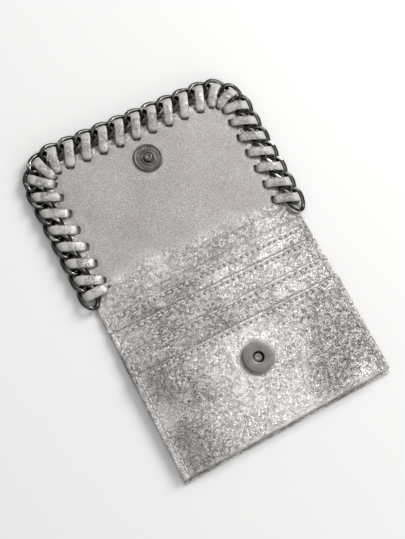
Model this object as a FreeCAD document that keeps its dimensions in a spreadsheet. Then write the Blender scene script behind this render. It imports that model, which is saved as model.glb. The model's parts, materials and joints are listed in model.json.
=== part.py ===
import FreeCAD, Part
import math
import os

import Sketcher
from FreeCAD import Placement, Rotation, Vector

# Chain wallet: a small leather pocket with card slots and a flap whose edge carries a curb chain,
# held on by a leather lace.  The wallet lies open on its back: X runs across the pocket, +Y from
# the pocket to the tip of the flap, +Z up.  The origin is the middle of the footprint, on the
# surface that the wallet lies on.  Sketches are drawn about the fold line, which is moved to
# fold_y by each sub-part's placement.  Millimetres throughout.

doc = FreeCAD.newDocument("chain_wallet")

# ---------------------------------------------------------------- driving dimensions
# (alias, value, meaning)
DIMENSIONS = [
    ("body_width", 107.0, "pocket, side to side"),
    ("body_length", 84.0, "pocket, fold line to bottom edge"),
    ("body_corner_radius", 3.0, "pocket's lower corners"),
    ("lower_crease", 1.5, "fold line down to the crease at the pocket"),
    ("upper_crease", 5.5, "fold line up to the crease at the flap"),
    ("leather", 1.2, "thickness of the outer leather"),
    ("back_lining_thickness", 0.6, "lining glued to the back panel"),
    ("inner_bottom", 75.5, "fold line down to the lower end of the inner layers"),
    ("inner_width", 106.2, "card slot layers, side to side"),
    ("card_panel_edge", 4.5, "fold line down to the card panel's top edge"),
    ("card_panel_bottom_z", 2.2, "card panel's underside"),
    ("card_panel_thickness", 0.6, "card panel"),
    ("strip_thickness", 0.5, "leather strip over each card slot"),
    ("strip_depth", 14.0, "height of each leather strip"),
    ("slot_lining_thickness", 0.3, "fabric behind each strip"),
    ("inner_edge_inset", 0.6, "back panel's lower edge inside the turned bottom"),
    ("slot_lining_tuck", 0.8, "fabric's top edge below the strip's"),
    ("slot_b_edge", 12.2, "fold line down to the second slot's edge"),
    ("slot_b_z", 3.1, "underside of the second slot's lining"),
    ("slot_c_edge", 22.8, "fold line down to the third slot's edge"),
    ("slot_c_z", 4.0, "underside of the third slot's lining"),
    ("front_edge", 33.2, "fold line down to the front panel's edge"),
    ("front_top_z", 6.5, "front panel's outer face"),
    ("front_leather", 0.9, "front panel's thickness"),
    ("front_lining_thickness", 0.5, "lining behind the front panel"),
    ("front_lining_bottom", 78.0, "fold line down to that lining's lower end"),
    ("bottom_tab_z", 1.4, "underside of the leather turned in at the bottom"),
    ("bottom_tab_depth", 5.5, "depth of that turned-in leather"),
    ("snap_rise", 54.5, "fold line up to the flap's snap"),
    ("snap_drop", 50.5, "fold line down to the pocket's snap"),
    ("case_radius", 7.1, "pocket snap's case"),
    ("case_height", 2.2, "pocket snap above the leather"),
    ("case_wall", 0.4, "sheet metal of the case"),
    ("case_hole_radius", 2.5, "hole that takes the stub"),
    ("magnet_bore_radius", 2.75, "ring magnet's bore"),
    ("core_radius", 1.85, "steel core at the bottom of the hole"),
    ("core_height", 0.9, "top of the core above the leather"),
    ("disc_radius", 6.9, "flap snap's disc"),
    ("disc_height", 1.1, "flap snap's disc above the lining"),
    ("stub_radius", 2.1, "stub on the disc"),
    ("stub_height", 1.2, "stub above the disc"),
    ("stub_step", 0.3, "step round the stub's tip"),
    ("disc_rim", 0.6, "disc's rim, outside its groove"),
    ("disc_groove_width", 0.4, "groove inside the disc's rim"),
    ("disc_groove_depth", 0.2, "depth of that groove"),
    ("prong_offset", 3.0, "snap's middle to each prong"),
    ("prong_width", 2.4, "prong, across"),
    ("prong_thickness", 0.4, "prong's sheet metal"),
    ("prong_foot", 2.2, "bent foot of the prong"),
    ("washer_radius", 6.0, "washer that the prongs hold"),
    ("washer_thickness", 0.3, "washer"),
    ("prong_slot_clearance", 0.1, "room round each prong"),
    ("flap_bottom_z", 0.9, "underside of the flap's leather"),
    ("flap_leather", 1.0, "flap's outer leather"),
    ("flap_lining_thickness", 0.7, "flap's inner face"),
    ("spine_bottom_z", 0.5, "underside of the spine's leather"),
    ("spine_leather", 1.0, "spine's outer leather"),
    ("chain_half_width", 54.0, "middle of the flap to the chain's centreline"),
    ("chain_rise", 75.0, "fold line up to the chain's centreline at the tip"),
    ("chain_corner_radius", 15.5, "chain's centreline round the flap's corners"),
    ("chain_start", 0.7, "fold line up to the ends of the chain"),
    ("chain_height", 2.95, "middle of the links above the ground"),
    ("link_count", 28.0, "links round the flap"),
    ("link_half_length", 5.6, "link's centreline along the run"),
    ("link_half_breadth", 3.6, "link's centreline across the run"),
    ("link_twist", 1.15, "rise and fall of the link's centreline"),
    ("wire_diameter", 1.8, "link's wire"),
    ("link_ground_height", 3.7, "link's height between its ground faces"),
    ("edge_setback", 5.2, "chain's centreline in to the leather's edge"),
    ("lace_width", 3.4, "lace where it turns round a link"),
    ("lace_hole_width", 2.8, "lace where it is pinched in a slit"),
    ("lace_thickness", 0.7, "lace"),
    ("lace_setback", 9.0, "chain's centreline in to the slits"),
    ("lace_dive", 1.8, "chain's centreline out to where the lace goes down"),
    ("lace_top_z", 5.6, "lace over the links"),
    ("lace_lift", 0.1, "lace above the flap's inner face at its slit"),
    ("slit_clearance", 0.35, "room round the lace in its slit"),
    ("stitch_pitch", 3.0, "stitches, middle to middle"),
    ("stitch_length", 2.2, "one stitch"),
    ("thread_width", 0.5, "sewing thread"),
    ("thread_height", 0.3, "sewing thread above the leather"),
    ("edge_stitch_inset", 2.0, "a slot's edge down to its stitch row"),
    ("side_stitch_inset", 2.8, "pocket's side edge in to its stitch row"),
    ("side_stitch_end", 4.0, "pocket's bottom edge up to the first side stitch"),
    ("stitch_edge_gap", 0.2, "end of a side stitch to the next slot's edge"),
    ("washer_z", 4.8, "pocket washer's underside"),
    ("flap_washer_z", 1.6, "flap washer's underside"),
    ("washer_recess_radius", 7.2, "recess for the flap's washer"),
    ("first_slit_rise", 7.6, "fold line up to the lowest slit of the lace"),
]

sheet = doc.addObject("Spreadsheet::Sheet", "dims")
for row, (alias, value, meaning) in enumerate(DIMENSIONS, start=1):
    sheet.set(f"A{row}", alias)
    sheet.set(f"B{row}", str(value))
    sheet.set(f"C{row}", meaning)
    sheet.setAlias(f"B{row}", alias)
doc.recompute()

# Formulas of the sheet that several sub-parts share
FLAP_LENGTH = "(dims.chain_rise + dims.link_half_breadth + dims.wire_diameter / 2)"
FOLD_Y = f"((dims.body_length - {FLAP_LENGTH}) / 2)"
FLAP_TOP_Z = "(dims.flap_bottom_z + dims.flap_leather + dims.flap_lining_thickness)"
EDGE_WIDTH = "(2 * (dims.chain_half_width - dims.edge_setback))"
EDGE_RISE = "(dims.chain_rise - dims.edge_setback)"
EDGE_RADIUS = "(dims.chain_corner_radius - dims.edge_setback)"
TURN_RADIUS = "((dims.front_top_z - dims.bottom_tab_z) / 2)"
BODY_SNAP_Y = f"({FOLD_Y} - dims.snap_drop)"
FLAP_SNAP_Y = f"({FOLD_Y} + dims.snap_rise)"
BELOW = -1
ABOVE = 1
OVERCUT = 1.0  # how far a cutting tool reaches past the face that it cuts
LINK_POINTS = 16  # points of a link's centreline


def number(formula):
    """The value of a formula of the sheet, for shapes that are worked out in code."""
    value = sheet.evalExpression(formula)
    return float(getattr(value, "Value", value))


def dim(alias):
    return number(f"dims.{alias}")


# ---------------------------------------------------------------- helpers
def place(feature, y=FOLD_Y, z="0"):
    """Binds a sub-part's placement to the sheet."""
    feature.setExpression("Placement.Base.y", y)
    feature.setExpression("Placement.Base.z", z)


def new_body(name):
    body = doc.addObject("PartDesign::Body", name)
    body.Label = name
    return body


def new_sketch(body, name, plane):
    """A sketch on one of its own body's origin planes, such as XY_Plane."""
    sketch = body.newObject("Sketcher::SketchObject", name)
    for feature in body.Origin.OriginFeatures:
        if feature.Role == plane:
            sketch.AttachmentSupport = [(feature, "")]
    sketch.MapMode = "FlatFace"
    return sketch


def draw_loop(sketch, points):
    """Lines through the points, joined end to start into one loop."""
    for start, end in zip(points, points[1:] + points[:1]):
        sketch.addGeometry(Part.LineSegment(Vector(*start, 0), Vector(*end, 0)), False)
    for first in range(len(points)):
        second = (first + 1) % len(points)
        sketch.addConstraint(Sketcher.Constraint("Coincident", first, 2, second, 1))


def drive(sketch, kind, references, formula):
    """Adds a dimension to a sketch and binds it to a formula of the sheet."""
    index = sketch.addConstraint(Sketcher.Constraint(kind, *references, number(formula)))
    sketch.setExpression(f"Constraints[{index}]", formula)


def draw_rectangle(sketch, width, low, high):
    """A rectangle centred on the Y axis.  low and high are (formula, side) of its lower and upper
    edge: the distance from the fold line, and BELOW or ABOVE it."""
    half = number(width) / 2
    y_low = number(low[0]) * low[1]
    y_high = number(high[0]) * high[1]
    draw_loop(sketch, [(-half, y_low), (half, y_low), (half, y_high), (-half, y_high)])
    sketch.addConstraint(Sketcher.Constraint("Symmetric", 0, 1, 0, 2, -2))
    sketch.addConstraint(Sketcher.Constraint("Horizontal", 2))
    for line in (1, 3):
        sketch.addConstraint(Sketcher.Constraint("Vertical", line))
    drive(sketch, "DistanceX", (0, 1, 0, 2), width)
    for line, (formula, side) in ((0, low), (2, high)):
        ends = (line, 1, -1, 1) if side == BELOW else (-1, 1, line, 1)
        drive(sketch, "DistanceY", ends, formula)


def upright_edges(shape, y):
    """Names of the edges that stand parallel to Z at that y."""
    names = []
    for index, edge in enumerate(shape.Edges, start=1):
        start, end = edge.Vertexes[0].Point, edge.Vertexes[-1].Point
        level = abs(start.z - end.z) < 1e-6
        if not level and abs(start.y - y) < 1e-6 and abs(end.y - y) < 1e-6:
            names.append(f"Edge{index}")
    return names


def plate(name, width, low, high, thickness, z, corner_radius=None, rounded=None):
    """A flat layer: a padded rectangle, with the corners of one edge rounded if asked."""
    body = new_body(name)
    sketch = new_sketch(body, f"{name}_outline", "XY_Plane")
    draw_rectangle(sketch, width, low, high)
    pad = body.newObject("PartDesign::Pad", f"{name}_pad")
    pad.Profile = sketch
    pad.setExpression("Length", thickness)
    doc.recompute()
    if corner_radius:
        edge_y = number(rounded[0]) * rounded[1]
        fillet = body.newObject("PartDesign::Fillet", f"{name}_corners")
        fillet.Base = (pad, upright_edges(pad.Shape, edge_y))
        fillet.setExpression("Radius", corner_radius)
    place(body, z=z)
    doc.recompute()
    return body


def turned(name, profile, y, z):
    """A round part: a closed outline of (radius, height) formulas turned about its own Z axis.
    The outline's lines run across and up by turns, starting across."""
    body = new_body(name)
    sketch = new_sketch(body, f"{name}_profile", "XZ_Plane")
    values = [(number(radius), number(height)) for radius, height in profile]
    draw_loop(sketch, values)
    for line in range(len(profile)):
        kind = "Horizontal" if line % 2 == 0 else "Vertical"
        sketch.addConstraint(Sketcher.Constraint(kind, line))
    for line in range(0, len(profile), 2):
        fix_start(sketch, "DistanceY", line, profile[line][1], -1)
        fix_start(sketch, "DistanceX", line, profile[line][0], -2)
    revolution = body.newObject("PartDesign::Revolution", f"{name}_turn")
    revolution.Profile = sketch
    revolution.ReferenceAxis = (sketch, ["V_Axis"])
    revolution.Angle = 360.0
    place(body, y=y, z=z)
    doc.recompute()
    return body


def fix_start(sketch, kind, line, formula, axis):
    """Ties a line's start point to the sketch's axis, or to a distance from it."""
    if abs(number(formula)) < 1e-9:
        sketch.addConstraint(Sketcher.Constraint("PointOnObject", line, 1, axis))
    else:
        drive(sketch, kind, (-1, 1, line, 1), formula)


def worked_out(name, solids, y=FOLD_Y, z="0"):
    """A sub-part of one or more separate solids whose shape is worked out in code."""
    feature = doc.addObject("Part::Feature", name)
    feature.Label = name
    feature.Shape = solids[0] if len(solids) == 1 else Part.makeCompound(solids)
    place(feature, y=y, z=z)
    return feature


def cut_with(blank, tool, name):
    """The blank with the tool's solids taken out, under the sub-part's own name."""
    cut = doc.addObject("Part::Cut", name)
    cut.Label = name
    cut.Base = blank
    cut.Tool = tool
    doc.recompute()
    return cut


def block(name, size, x, y, z):
    """A box whose size is three formulas and whose lowest corner is three more."""
    box = doc.addObject("Part::Box", name)
    for side, formula in zip(("Length", "Width", "Height"), size):
        box.setExpression(side, formula)
    box.setExpression("Placement.Base.x", x)
    place(box, y=y, z=z)
    return box


def prism(corners, z_low, z_high):
    """An upright solid over a flat outline of (x, y) points."""
    wire = Part.makePolygon([Vector(x, y, z_low) for x, y in corners + corners[:1]])
    return Part.Face(wire).extrude(Vector(0, 0, z_high - z_low))


# ---------------------------------------------------------------- pocket: outer leather and layers
CREASE = ("dims.lower_crease", BELOW)
INNER_LOW = ("dims.inner_bottom", BELOW)
TURN_MIDDLE = f"(dims.body_length - {TURN_RADIUS})"


def make_back():
    low = ("(dims.body_length - dims.inner_edge_inset)", BELOW)
    panel = plate(
        "back_panel", "dims.body_width", low, CREASE, "dims.leather", "0",
        "dims.body_corner_radius", low,
    )
    lining = plate(
        "back_lining", "dims.inner_width", INNER_LOW, CREASE, "dims.back_lining_thickness",
        "dims.leather",
    )
    return [panel, lining]


def make_card_panel():
    """The panel between the banknote pocket and the first card slot."""
    return plate(
        "card_panel", "dims.inner_width", INNER_LOW, ("dims.card_panel_edge", BELOW),
        "dims.card_panel_thickness", "dims.card_panel_bottom_z",
    )


def make_slot(letter):
    """One card slot: a leather strip along its edge, and the fabric that the card slides behind."""
    edge = f"dims.slot_{letter}_edge"
    z = f"dims.slot_{letter}_z"
    lining = plate(
        f"slot_lining_{letter}", "dims.inner_width", INNER_LOW,
        (f"({edge} + dims.slot_lining_tuck)", BELOW), "dims.slot_lining_thickness", z,
    )
    strip = plate(
        f"slot_strip_{letter}", "dims.inner_width", (f"({edge} + dims.strip_depth)", BELOW),
        (edge, BELOW), "dims.strip_thickness", f"({z} + dims.slot_lining_thickness)",
    )
    return [lining, strip]


def make_front(prong_slots):
    """The front panel, whose leather turns in at the pocket's bottom edge, and its lining."""
    left = "-dims.body_width / 2"
    turn_y = f"({FOLD_Y} - {TURN_MIDDLE})"
    face_length = f"({TURN_MIDDLE} - dims.front_edge)"
    face = block(
        "front_face", ("dims.body_width", face_length, "dims.front_leather"),
        left, turn_y, "(dims.front_top_z - dims.front_leather)",
    )
    tab = block(
        "front_tab", ("dims.body_width", "dims.bottom_tab_depth", "dims.front_leather"),
        left, turn_y, "dims.bottom_tab_z",
    )
    half_tube_turn = Rotation(Vector(1, 1, 1), 120) * Rotation(Vector(0, 0, 1), 90)
    tubes = []
    for name, radius in (
        ("front_turn_outer", TURN_RADIUS),
        ("front_turn_inner", f"({TURN_RADIUS} - dims.front_leather)"),
    ):
        tube = doc.addObject("Part::Cylinder", name)
        tube.setExpression("Radius", radius)
        tube.setExpression("Height", "dims.body_width")
        tube.Angle = 180.0
        tube.Placement = Placement(Vector(), half_tube_turn)
        tube.setExpression("Placement.Base.x", left)
        place(tube, y=turn_y, z=f"(dims.bottom_tab_z + {TURN_RADIUS})")
        tubes.append(tube)
    turn = cut_with(tubes[0], tubes[1], "front_turn")
    shell = doc.addObject("Part::MultiFuse", "front_shell")
    shell.Shapes = [face, turn, tab]
    doc.recompute()
    lining_blank = plate(
        "front_lining_blank", "dims.inner_width", ("dims.front_lining_bottom", BELOW),
        ("(dims.front_edge + dims.slot_lining_tuck)", BELOW), "dims.front_lining_thickness",
        "(dims.front_top_z - dims.front_leather - dims.front_lining_thickness)",
    )
    return [
        cut_with(shell, prong_slots, "front_panel"),
        cut_with(lining_blank, prong_slots, "front_lining"),
    ]


# ---------------------------------------------------------------- magnetic snap
POCKET_FOOT_Z = dim("washer_z") - dim("washer_thickness")
FLAP_FOOT_Z = dim("flap_washer_z") - dim("washer_thickness")


def prong_shapes(z_head, z_foot, clearance):
    """Two L-shaped legs, from the snap down through the layers, bent outwards at the foot."""
    inner = dim("prong_offset") - dim("prong_thickness") / 2 - clearance
    outer = dim("prong_offset") + dim("prong_thickness") / 2 + clearance
    half = dim("prong_width") / 2 + clearance
    foot_top = z_foot + dim("washer_thickness")
    legs = []
    for side in (-1, 1):
        heel = side * inner
        shin = side * outer
        solid = prism([(heel, -half), (shin, -half), (shin, half), (heel, half)], z_foot, z_head)
        if clearance == 0:
            toe = side * (outer + dim("prong_foot"))
            foot = prism([(heel, -half), (toe, -half), (toe, half), (heel, half)], z_foot, foot_top)
            solid = solid.fuse(foot).removeSplitter()
        legs.append(solid)
    return legs


def make_washer(name, y, z, slots):
    blank = doc.addObject("Part::Cylinder", f"{name}_blank")
    blank.setExpression("Radius", "dims.washer_radius")
    blank.setExpression("Height", "dims.washer_thickness")
    place(blank, y=y, z=z)
    doc.recompute()
    return cut_with(blank, slots, name)


def make_pocket_snap(prong_slots):
    """The pocket's half: a case with a ring magnet round a steel core, held by two prongs."""
    wall_inside = "(dims.case_radius - dims.case_wall)"
    under_top = "(dims.case_height - dims.case_wall)"
    case = turned(
        "pocket_snap_case",
        [
            (wall_inside, "0"), ("dims.case_radius", "0"),
            ("dims.case_radius", "dims.case_height"), ("dims.case_hole_radius", "dims.case_height"),
            ("dims.case_hole_radius", under_top), (wall_inside, under_top),
        ],
        BODY_SNAP_Y, "dims.front_top_z",
    )
    core = turned(
        "pocket_snap_core",
        [
            ("0", "0"), (wall_inside, "0"),
            (wall_inside, "dims.case_wall"), ("dims.core_radius", "dims.case_wall"),
            ("dims.core_radius", "dims.core_height"), ("0", "dims.core_height"),
        ],
        BODY_SNAP_Y, "dims.front_top_z",
    )
    magnet = turned(
        "pocket_snap_magnet",
        [
            ("dims.magnet_bore_radius", "dims.case_wall"), (wall_inside, "dims.case_wall"),
            (wall_inside, under_top), ("dims.magnet_bore_radius", under_top),
        ],
        BODY_SNAP_Y, "dims.front_top_z",
    )
    legs = prong_shapes(dim("front_top_z"), POCKET_FOOT_Z, 0)
    prongs = worked_out("pocket_snap_prongs", legs, y=BODY_SNAP_Y)
    washer = make_washer("pocket_snap_washer", BODY_SNAP_Y, "dims.washer_z", prong_slots)
    return [case, core, magnet, prongs, washer]


def make_flap_snap(prong_slots):
    """The flap's half: a disc with a groove inside its rim, and the stub that enters the case."""
    groove_floor = "(dims.disc_height - dims.disc_groove_depth)"
    groove_outside = "(dims.disc_radius - dims.disc_rim)"
    groove_inside = "(dims.disc_radius - dims.disc_rim - dims.disc_groove_width)"
    disc = turned(
        "flap_snap_disc",
        [
            ("dims.stub_radius", "0"), ("dims.disc_radius", "0"),
            ("dims.disc_radius", "dims.disc_height"), (groove_outside, "dims.disc_height"),
            (groove_outside, groove_floor), (groove_inside, groove_floor),
            (groove_inside, "dims.disc_height"), ("dims.stub_radius", "dims.disc_height"),
        ],
        FLAP_SNAP_Y, FLAP_TOP_Z,
    )
    tip = "(dims.disc_height + dims.stub_height)"
    step_z = f"({tip} - dims.stub_step)"
    step_radius = "(dims.stub_radius - dims.stub_step)"
    stub = turned(
        "flap_snap_stub",
        [
            ("0", "0"), ("dims.stub_radius", "0"),
            ("dims.stub_radius", step_z), (step_radius, step_z),
            (step_radius, tip), ("0", tip),
        ],
        FLAP_SNAP_Y, FLAP_TOP_Z,
    )
    legs = prong_shapes(number(FLAP_TOP_Z), FLAP_FOOT_Z, 0)
    prongs = worked_out("flap_snap_prongs", legs, y=FLAP_SNAP_Y)
    washer = make_washer("flap_snap_washer", FLAP_SNAP_Y, "dims.flap_washer_z", prong_slots)
    return [disc, stub, prongs, washer]


# ---------------------------------------------------------------- the run of the chain
CORNER_RISE = dim("chain_rise") - dim("chain_corner_radius")
CORNER_ARC = math.pi / 2 * dim("chain_corner_radius")
TOP_RUN = 2 * (dim("chain_half_width") - dim("chain_corner_radius"))
LINK_REACH = dim("link_half_length") + dim("wire_diameter") / 2
FIRST_LINK_Y = dim("chain_start") + LINK_REACH
RUN_LENGTH = 2 * (CORNER_RISE - FIRST_LINK_Y) + 2 * CORNER_ARC + TOP_RUN
LINK_COUNT = int(dim("link_count"))
LINK_PITCH = RUN_LENGTH / (LINK_COUNT - 1)


def run_frame(along):
    """Point, direction and outward normal at a distance along the chain's centreline, which goes
    up the left side, over the tip and down the right side.  It may start below its first link."""
    half_width = dim("chain_half_width")
    radius = dim("chain_corner_radius")
    left = CORNER_RISE - FIRST_LINK_Y
    if along <= left:
        return Vector(-half_width, FIRST_LINK_Y + along, 0), Vector(0, 1, 0), Vector(-1, 0, 0)
    if along >= RUN_LENGTH - left:
        y = FIRST_LINK_Y + RUN_LENGTH - along
        return Vector(half_width, y, 0), Vector(0, -1, 0), Vector(1, 0, 0)
    along -= left
    side = -1
    if along > CORNER_ARC + TOP_RUN:
        side = 1
        along = CORNER_ARC - (along - CORNER_ARC - TOP_RUN)
    if along < CORNER_ARC:
        angle = along / radius
        normal = Vector(side * math.cos(angle), math.sin(angle), 0)
        centre = Vector(side * (half_width - radius), CORNER_RISE, 0)
        return centre + normal * radius, Vector(normal.y, -normal.x, 0), normal
    x = -half_width + radius + along - CORNER_ARC
    return Vector(x, dim("chain_rise"), 0), Vector(1, 0, 0), Vector(0, 1, 0)


def make_links():
    """Twisted curb links.  Each link's centreline rises at two opposite quarters and falls at the
    other two, so that neighbours pass over and under each other; the faces are ground flat."""
    half_length = dim("link_half_length")
    half_breadth = dim("link_half_breadth")
    twist = dim("link_twist")
    points = []
    for step in range(LINK_POINTS):
        turn = 2 * math.pi * step / LINK_POINTS
        x = half_length * math.cos(turn)
        y = half_breadth * math.sin(turn)
        points.append(Vector(x, y, -twist * math.sin(2 * turn)))
    curve = Part.BSplineCurve()
    curve.interpolate(Points=points, PeriodicFlag=True)
    middle = (curve.FirstParameter + curve.LastParameter) / 2
    halves = []
    for first, last in ((curve.FirstParameter, middle), (middle, curve.LastParameter)):
        centre, direction = curve.value(first), curve.tangent(first)[0]
        section = Part.Wire(Part.Circle(centre, direction, dim("wire_diameter") / 2).toShape())
        spine = Part.Wire(Part.Edge(curve, first, last))
        halves.append(spine.makePipeShell([section], True, False))
    wire_ring = halves[0].fuse(halves[1])
    half_ground = dim("link_ground_height") / 2
    ground = Part.makeBox(4 * half_length, 4 * half_length, 2 * half_ground)
    ground.translate(Vector(-2 * half_length, -2 * half_length, -half_ground))
    master = wire_ring.common(ground).Solids[0]
    links = []
    for index in range(LINK_COUNT):
        point, direction, _ = run_frame(index * LINK_PITCH)
        link = worked_out(f"chain_link_{index + 1:02d}", [master.copy()])
        turn = Rotation(Vector(1, 0, 0), direction)
        link.Placement = Placement(point, turn)
        link.setExpression("Placement.Base.y", f"{FOLD_Y} + {point.y:.6f}")
        link.setExpression("Placement.Base.z", "dims.chain_height")
        links.append(link)
    return links


# ---------------------------------------------------------------- lace
def lace_places():
    """For every link, where the lace goes down inside it and the slit that it comes up through:
    (middle, direction along the run).  One more place takes the lace's end.  A slit lies square to
    its own turn of the lace, also round the corners."""
    lowest = dim("first_slit_rise") - FIRST_LINK_Y
    dives = []
    slits = []
    for index in range(LINK_COUNT):
        point, direction, normal = run_frame(index * LINK_PITCH)
        dives.append((point + normal * dim("lace_dive"), direction))
    for index in range(LINK_COUNT + 1):
        along = (index - 0.5) * LINK_PITCH
        along = min(max(along, lowest), RUN_LENGTH - lowest)
        point, direction, normal = run_frame(along)
        if index < LINK_COUNT:
            direction = dives[index][1]
        slits.append((point - normal * dim("lace_setback"), direction))
    return dives, slits


def lace_plan(slit, dive, margin):
    """The lace seen from above: from a slit to where it goes down, both ends on the lace's middle
    and carried on by the margin along each end's own outward normal."""
    corners = []
    ends = ((slit, "lace_hole_width", -1), (dive, "lace_width", 1))
    for (middle, direction), width, sign in ends:
        normal = Vector(-direction.y, direction.x, 0)
        end = middle + normal * (sign * margin)
        half = direction * (dim(width) / 2)
        sides = (end - half, end + half) if sign < 0 else (end + half, end - half)
        corners += [(corner.x, corner.y) for corner in sides]
    return corners


def lace_turn(slit, dive, next_slit):
    """One turn of the lace: up out of its slit, over the link, down inside it, and back under
    the leather's edge to the next slit."""
    middle, direction = dive
    normal = Vector(-direction.y, direction.x, 0)
    thick = dim("lace_thickness")
    half = thick / 2
    inner = (slit[0] - middle).dot(normal)
    over_link = dim("lace_dive") + dim("link_half_breadth") + dim("wire_diameter") / 2 + half
    top = dim("lace_top_z")
    face = number(FLAP_TOP_Z)
    outline = [
        (inner - half, thick), (inner - half, face + thick), (-over_link - half, top), (half, top),
        (half, 0), (-half, 0), (-half, top - thick), (-over_link, top - thick),
        (inner + half, face + dim("lace_lift")), (inner + half, thick),
    ]
    reach = 4 * dim("lace_width")
    start = middle - direction * reach
    points = [start + normal * across + Vector(0, 0, z) for across, z in outline]
    profile = Part.Face(Part.makePolygon(points + points[:1]))
    strip = prism(lace_plan(slit, dive, half), -OVERCUT, top + OVERCUT)
    over = profile.extrude(direction * (2 * reach)).common(strip)
    under = prism(lace_plan(next_slit, dive, half), 0, thick)
    return over.fuse(under).removeSplitter().Solids[0]


def make_lace():
    dives, slits = lace_places()
    turns = [lace_turn(slits[i], dives[i], slits[i + 1]) for i in range(LINK_COUNT)]
    return worked_out("edge_lace", turns)


def slit_tool():
    """Solids that cut the lace's slits, one for every turn."""
    half_long = dim("lace_hole_width") / 2 + dim("slit_clearance")
    half_wide = dim("lace_thickness") / 2 + dim("slit_clearance")
    slits = lace_places()[1]
    solids = []
    for middle, direction in slits[:LINK_COUNT]:
        along = direction * half_long
        across = Vector(-direction.y, direction.x, 0) * half_wide
        corners = [
            middle - along - across, middle + along - across,
            middle + along + across, middle - along + across,
        ]
        outline = [(corner.x, corner.y) for corner in corners]
        solids.append(prism(outline, -OVERCUT, dim("lace_top_z")))
    return worked_out("lace_slits", solids)


# ---------------------------------------------------------------- flap and spine
def make_flap(slits, prong_slots):
    """The flap's outer leather, recessed for the snap's washer, and its inner face."""
    low = ("dims.upper_crease", ABOVE)
    high = (EDGE_RISE, ABOVE)
    outer = plate(
        "flap_outer_blank", EDGE_WIDTH, low, high, "dims.flap_leather", "dims.flap_bottom_z",
        EDGE_RADIUS, high,
    )
    inner = plate(
        "flap_lining_blank", EDGE_WIDTH, low, high, "dims.flap_lining_thickness",
        "(dims.flap_bottom_z + dims.flap_leather)", EDGE_RADIUS, high,
    )
    recess = doc.addObject("Part::Cylinder", "washer_recess")
    recess.setExpression("Radius", "dims.washer_recess_radius")
    recess.setExpression("Height", "2 * dims.washer_thickness")
    place(recess, y=FLAP_SNAP_Y, z="(dims.flap_washer_z - dims.washer_thickness)")
    doc.recompute()
    return [
        cut_with(cut_with(outer, slits, "flap_outer_slit"), recess, "flap_outer"),
        cut_with(cut_with(inner, slits, "flap_lining_slit"), prong_slots, "flap_lining"),
    ]


def make_spine():
    """The narrow strip between the two creases."""
    low = ("dims.lower_crease", BELOW)
    high = ("dims.upper_crease", ABOVE)
    panel = plate("spine_panel", EDGE_WIDTH, low, high, "dims.spine_leather", "dims.spine_bottom_z")
    lining = plate(
        "spine_lining", EDGE_WIDTH, low, high, "dims.flap_lining_thickness",
        "(dims.spine_bottom_z + dims.spine_leather)",
    )
    return [panel, lining]


# ---------------------------------------------------------------- stitching
def stitch(x, y, z, along_x):
    """One stitch of thread lying on the leather."""
    half_x = dim("stitch_length") / 2
    half_y = dim("thread_width") / 2
    if not along_x:
        half_x, half_y = half_y, half_x
    left, right = x - half_x, x + half_x
    low, high = y - half_y, y + half_y
    corners = [(left, low), (right, low), (right, high), (left, high)]
    return prism(corners, z, z + dim("thread_height"))


SLOT_THICKNESS = dim("slot_lining_thickness") + dim("strip_thickness")

# Each slot edge from the fold line down: its distance below the fold line and its upper face
LEVELS = [
    ("a", dim("card_panel_edge"), dim("card_panel_bottom_z") + dim("card_panel_thickness")),
    ("b", dim("slot_b_edge"), dim("slot_b_z") + SLOT_THICKNESS),
    ("c", dim("slot_c_edge"), dim("slot_c_z") + SLOT_THICKNESS),
    ("d", dim("front_edge"), dim("front_top_z")),
]


def make_edge_stitches():
    """A row of stitches along each slot edge, between the two side rows."""
    pitch = dim("stitch_pitch")
    half_row = dim("body_width") / 2 - dim("side_stitch_inset") - pitch
    count = int(2 * half_row / pitch)
    rows = []
    for letter, edge, z in LEVELS:
        y = -edge - dim("edge_stitch_inset")
        first = -(count - 1) / 2 * pitch
        stitches = [stitch(first + index * pitch, y, z, True) for index in range(count)]
        rows.append(worked_out(f"edge_stitches_{letter}", stitches))
    return rows


def make_side_stitches():
    """A row of stitches down each side of the pocket, stepping up with the layers."""
    pitch = dim("stitch_pitch")
    end_room = dim("stitch_length") / 2 + dim("stitch_edge_gap")
    x = dim("body_width") / 2 - dim("side_stitch_inset")
    edges = [edge for _, edge, _ in LEVELS] + [dim("body_length") - dim("side_stitch_end")]
    rows = []
    for name, side in (("side_stitches_left", -1), ("side_stitches_right", 1)):
        stitches = []
        for (_, edge, z), next_edge in zip(LEVELS, edges[1:]):
            first = edge + end_room
            last = next_edge - end_room
            count = max(1, int((last - first) / pitch) + 1)
            gap = (last - first) / max(1, count - 1)
            for index in range(count):
                stitches.append(stitch(side * x, -(first + index * gap), z, False))
        rows.append(worked_out(name, stitches))
    return rows


# ---------------------------------------------------------------- assembly
pocket_slots = worked_out(
    "pocket_prong_slots",
    prong_shapes(dim("front_top_z") + OVERCUT, dim("slot_c_z"), dim("prong_slot_clearance")),
    y=BODY_SNAP_Y,
)
flap_slots = worked_out(
    "flap_prong_slots",
    prong_shapes(number(FLAP_TOP_Z) + OVERCUT, FLAP_FOOT_Z, dim("prong_slot_clearance")),
    y=FLAP_SNAP_Y,
)

parts = make_back()
parts.append(make_card_panel())
parts += make_slot("b")
parts += make_slot("c")
parts += make_front(pocket_slots)
parts += make_pocket_snap(pocket_slots)
parts += make_edge_stitches()
parts += make_side_stitches()
parts += make_spine()
parts += make_flap(slit_tool(), flap_slots)
parts.append(make_lace())
parts += make_flap_snap(flap_slots)
parts += make_links()
doc.recompute()

# ---------------------------------------------------------------- checks and export
for item in doc.Objects:
    if "Invalid" in item.State or "Error" in item.State:
        raise RuntimeError(f"{item.Label} failed: {item.State}")
for part in parts:
    if part.Shape.isNull() or not part.Shape.isValid() or not part.Shape.Solids:
        raise RuntimeError(f"{part.Label} has no valid solid")

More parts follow.
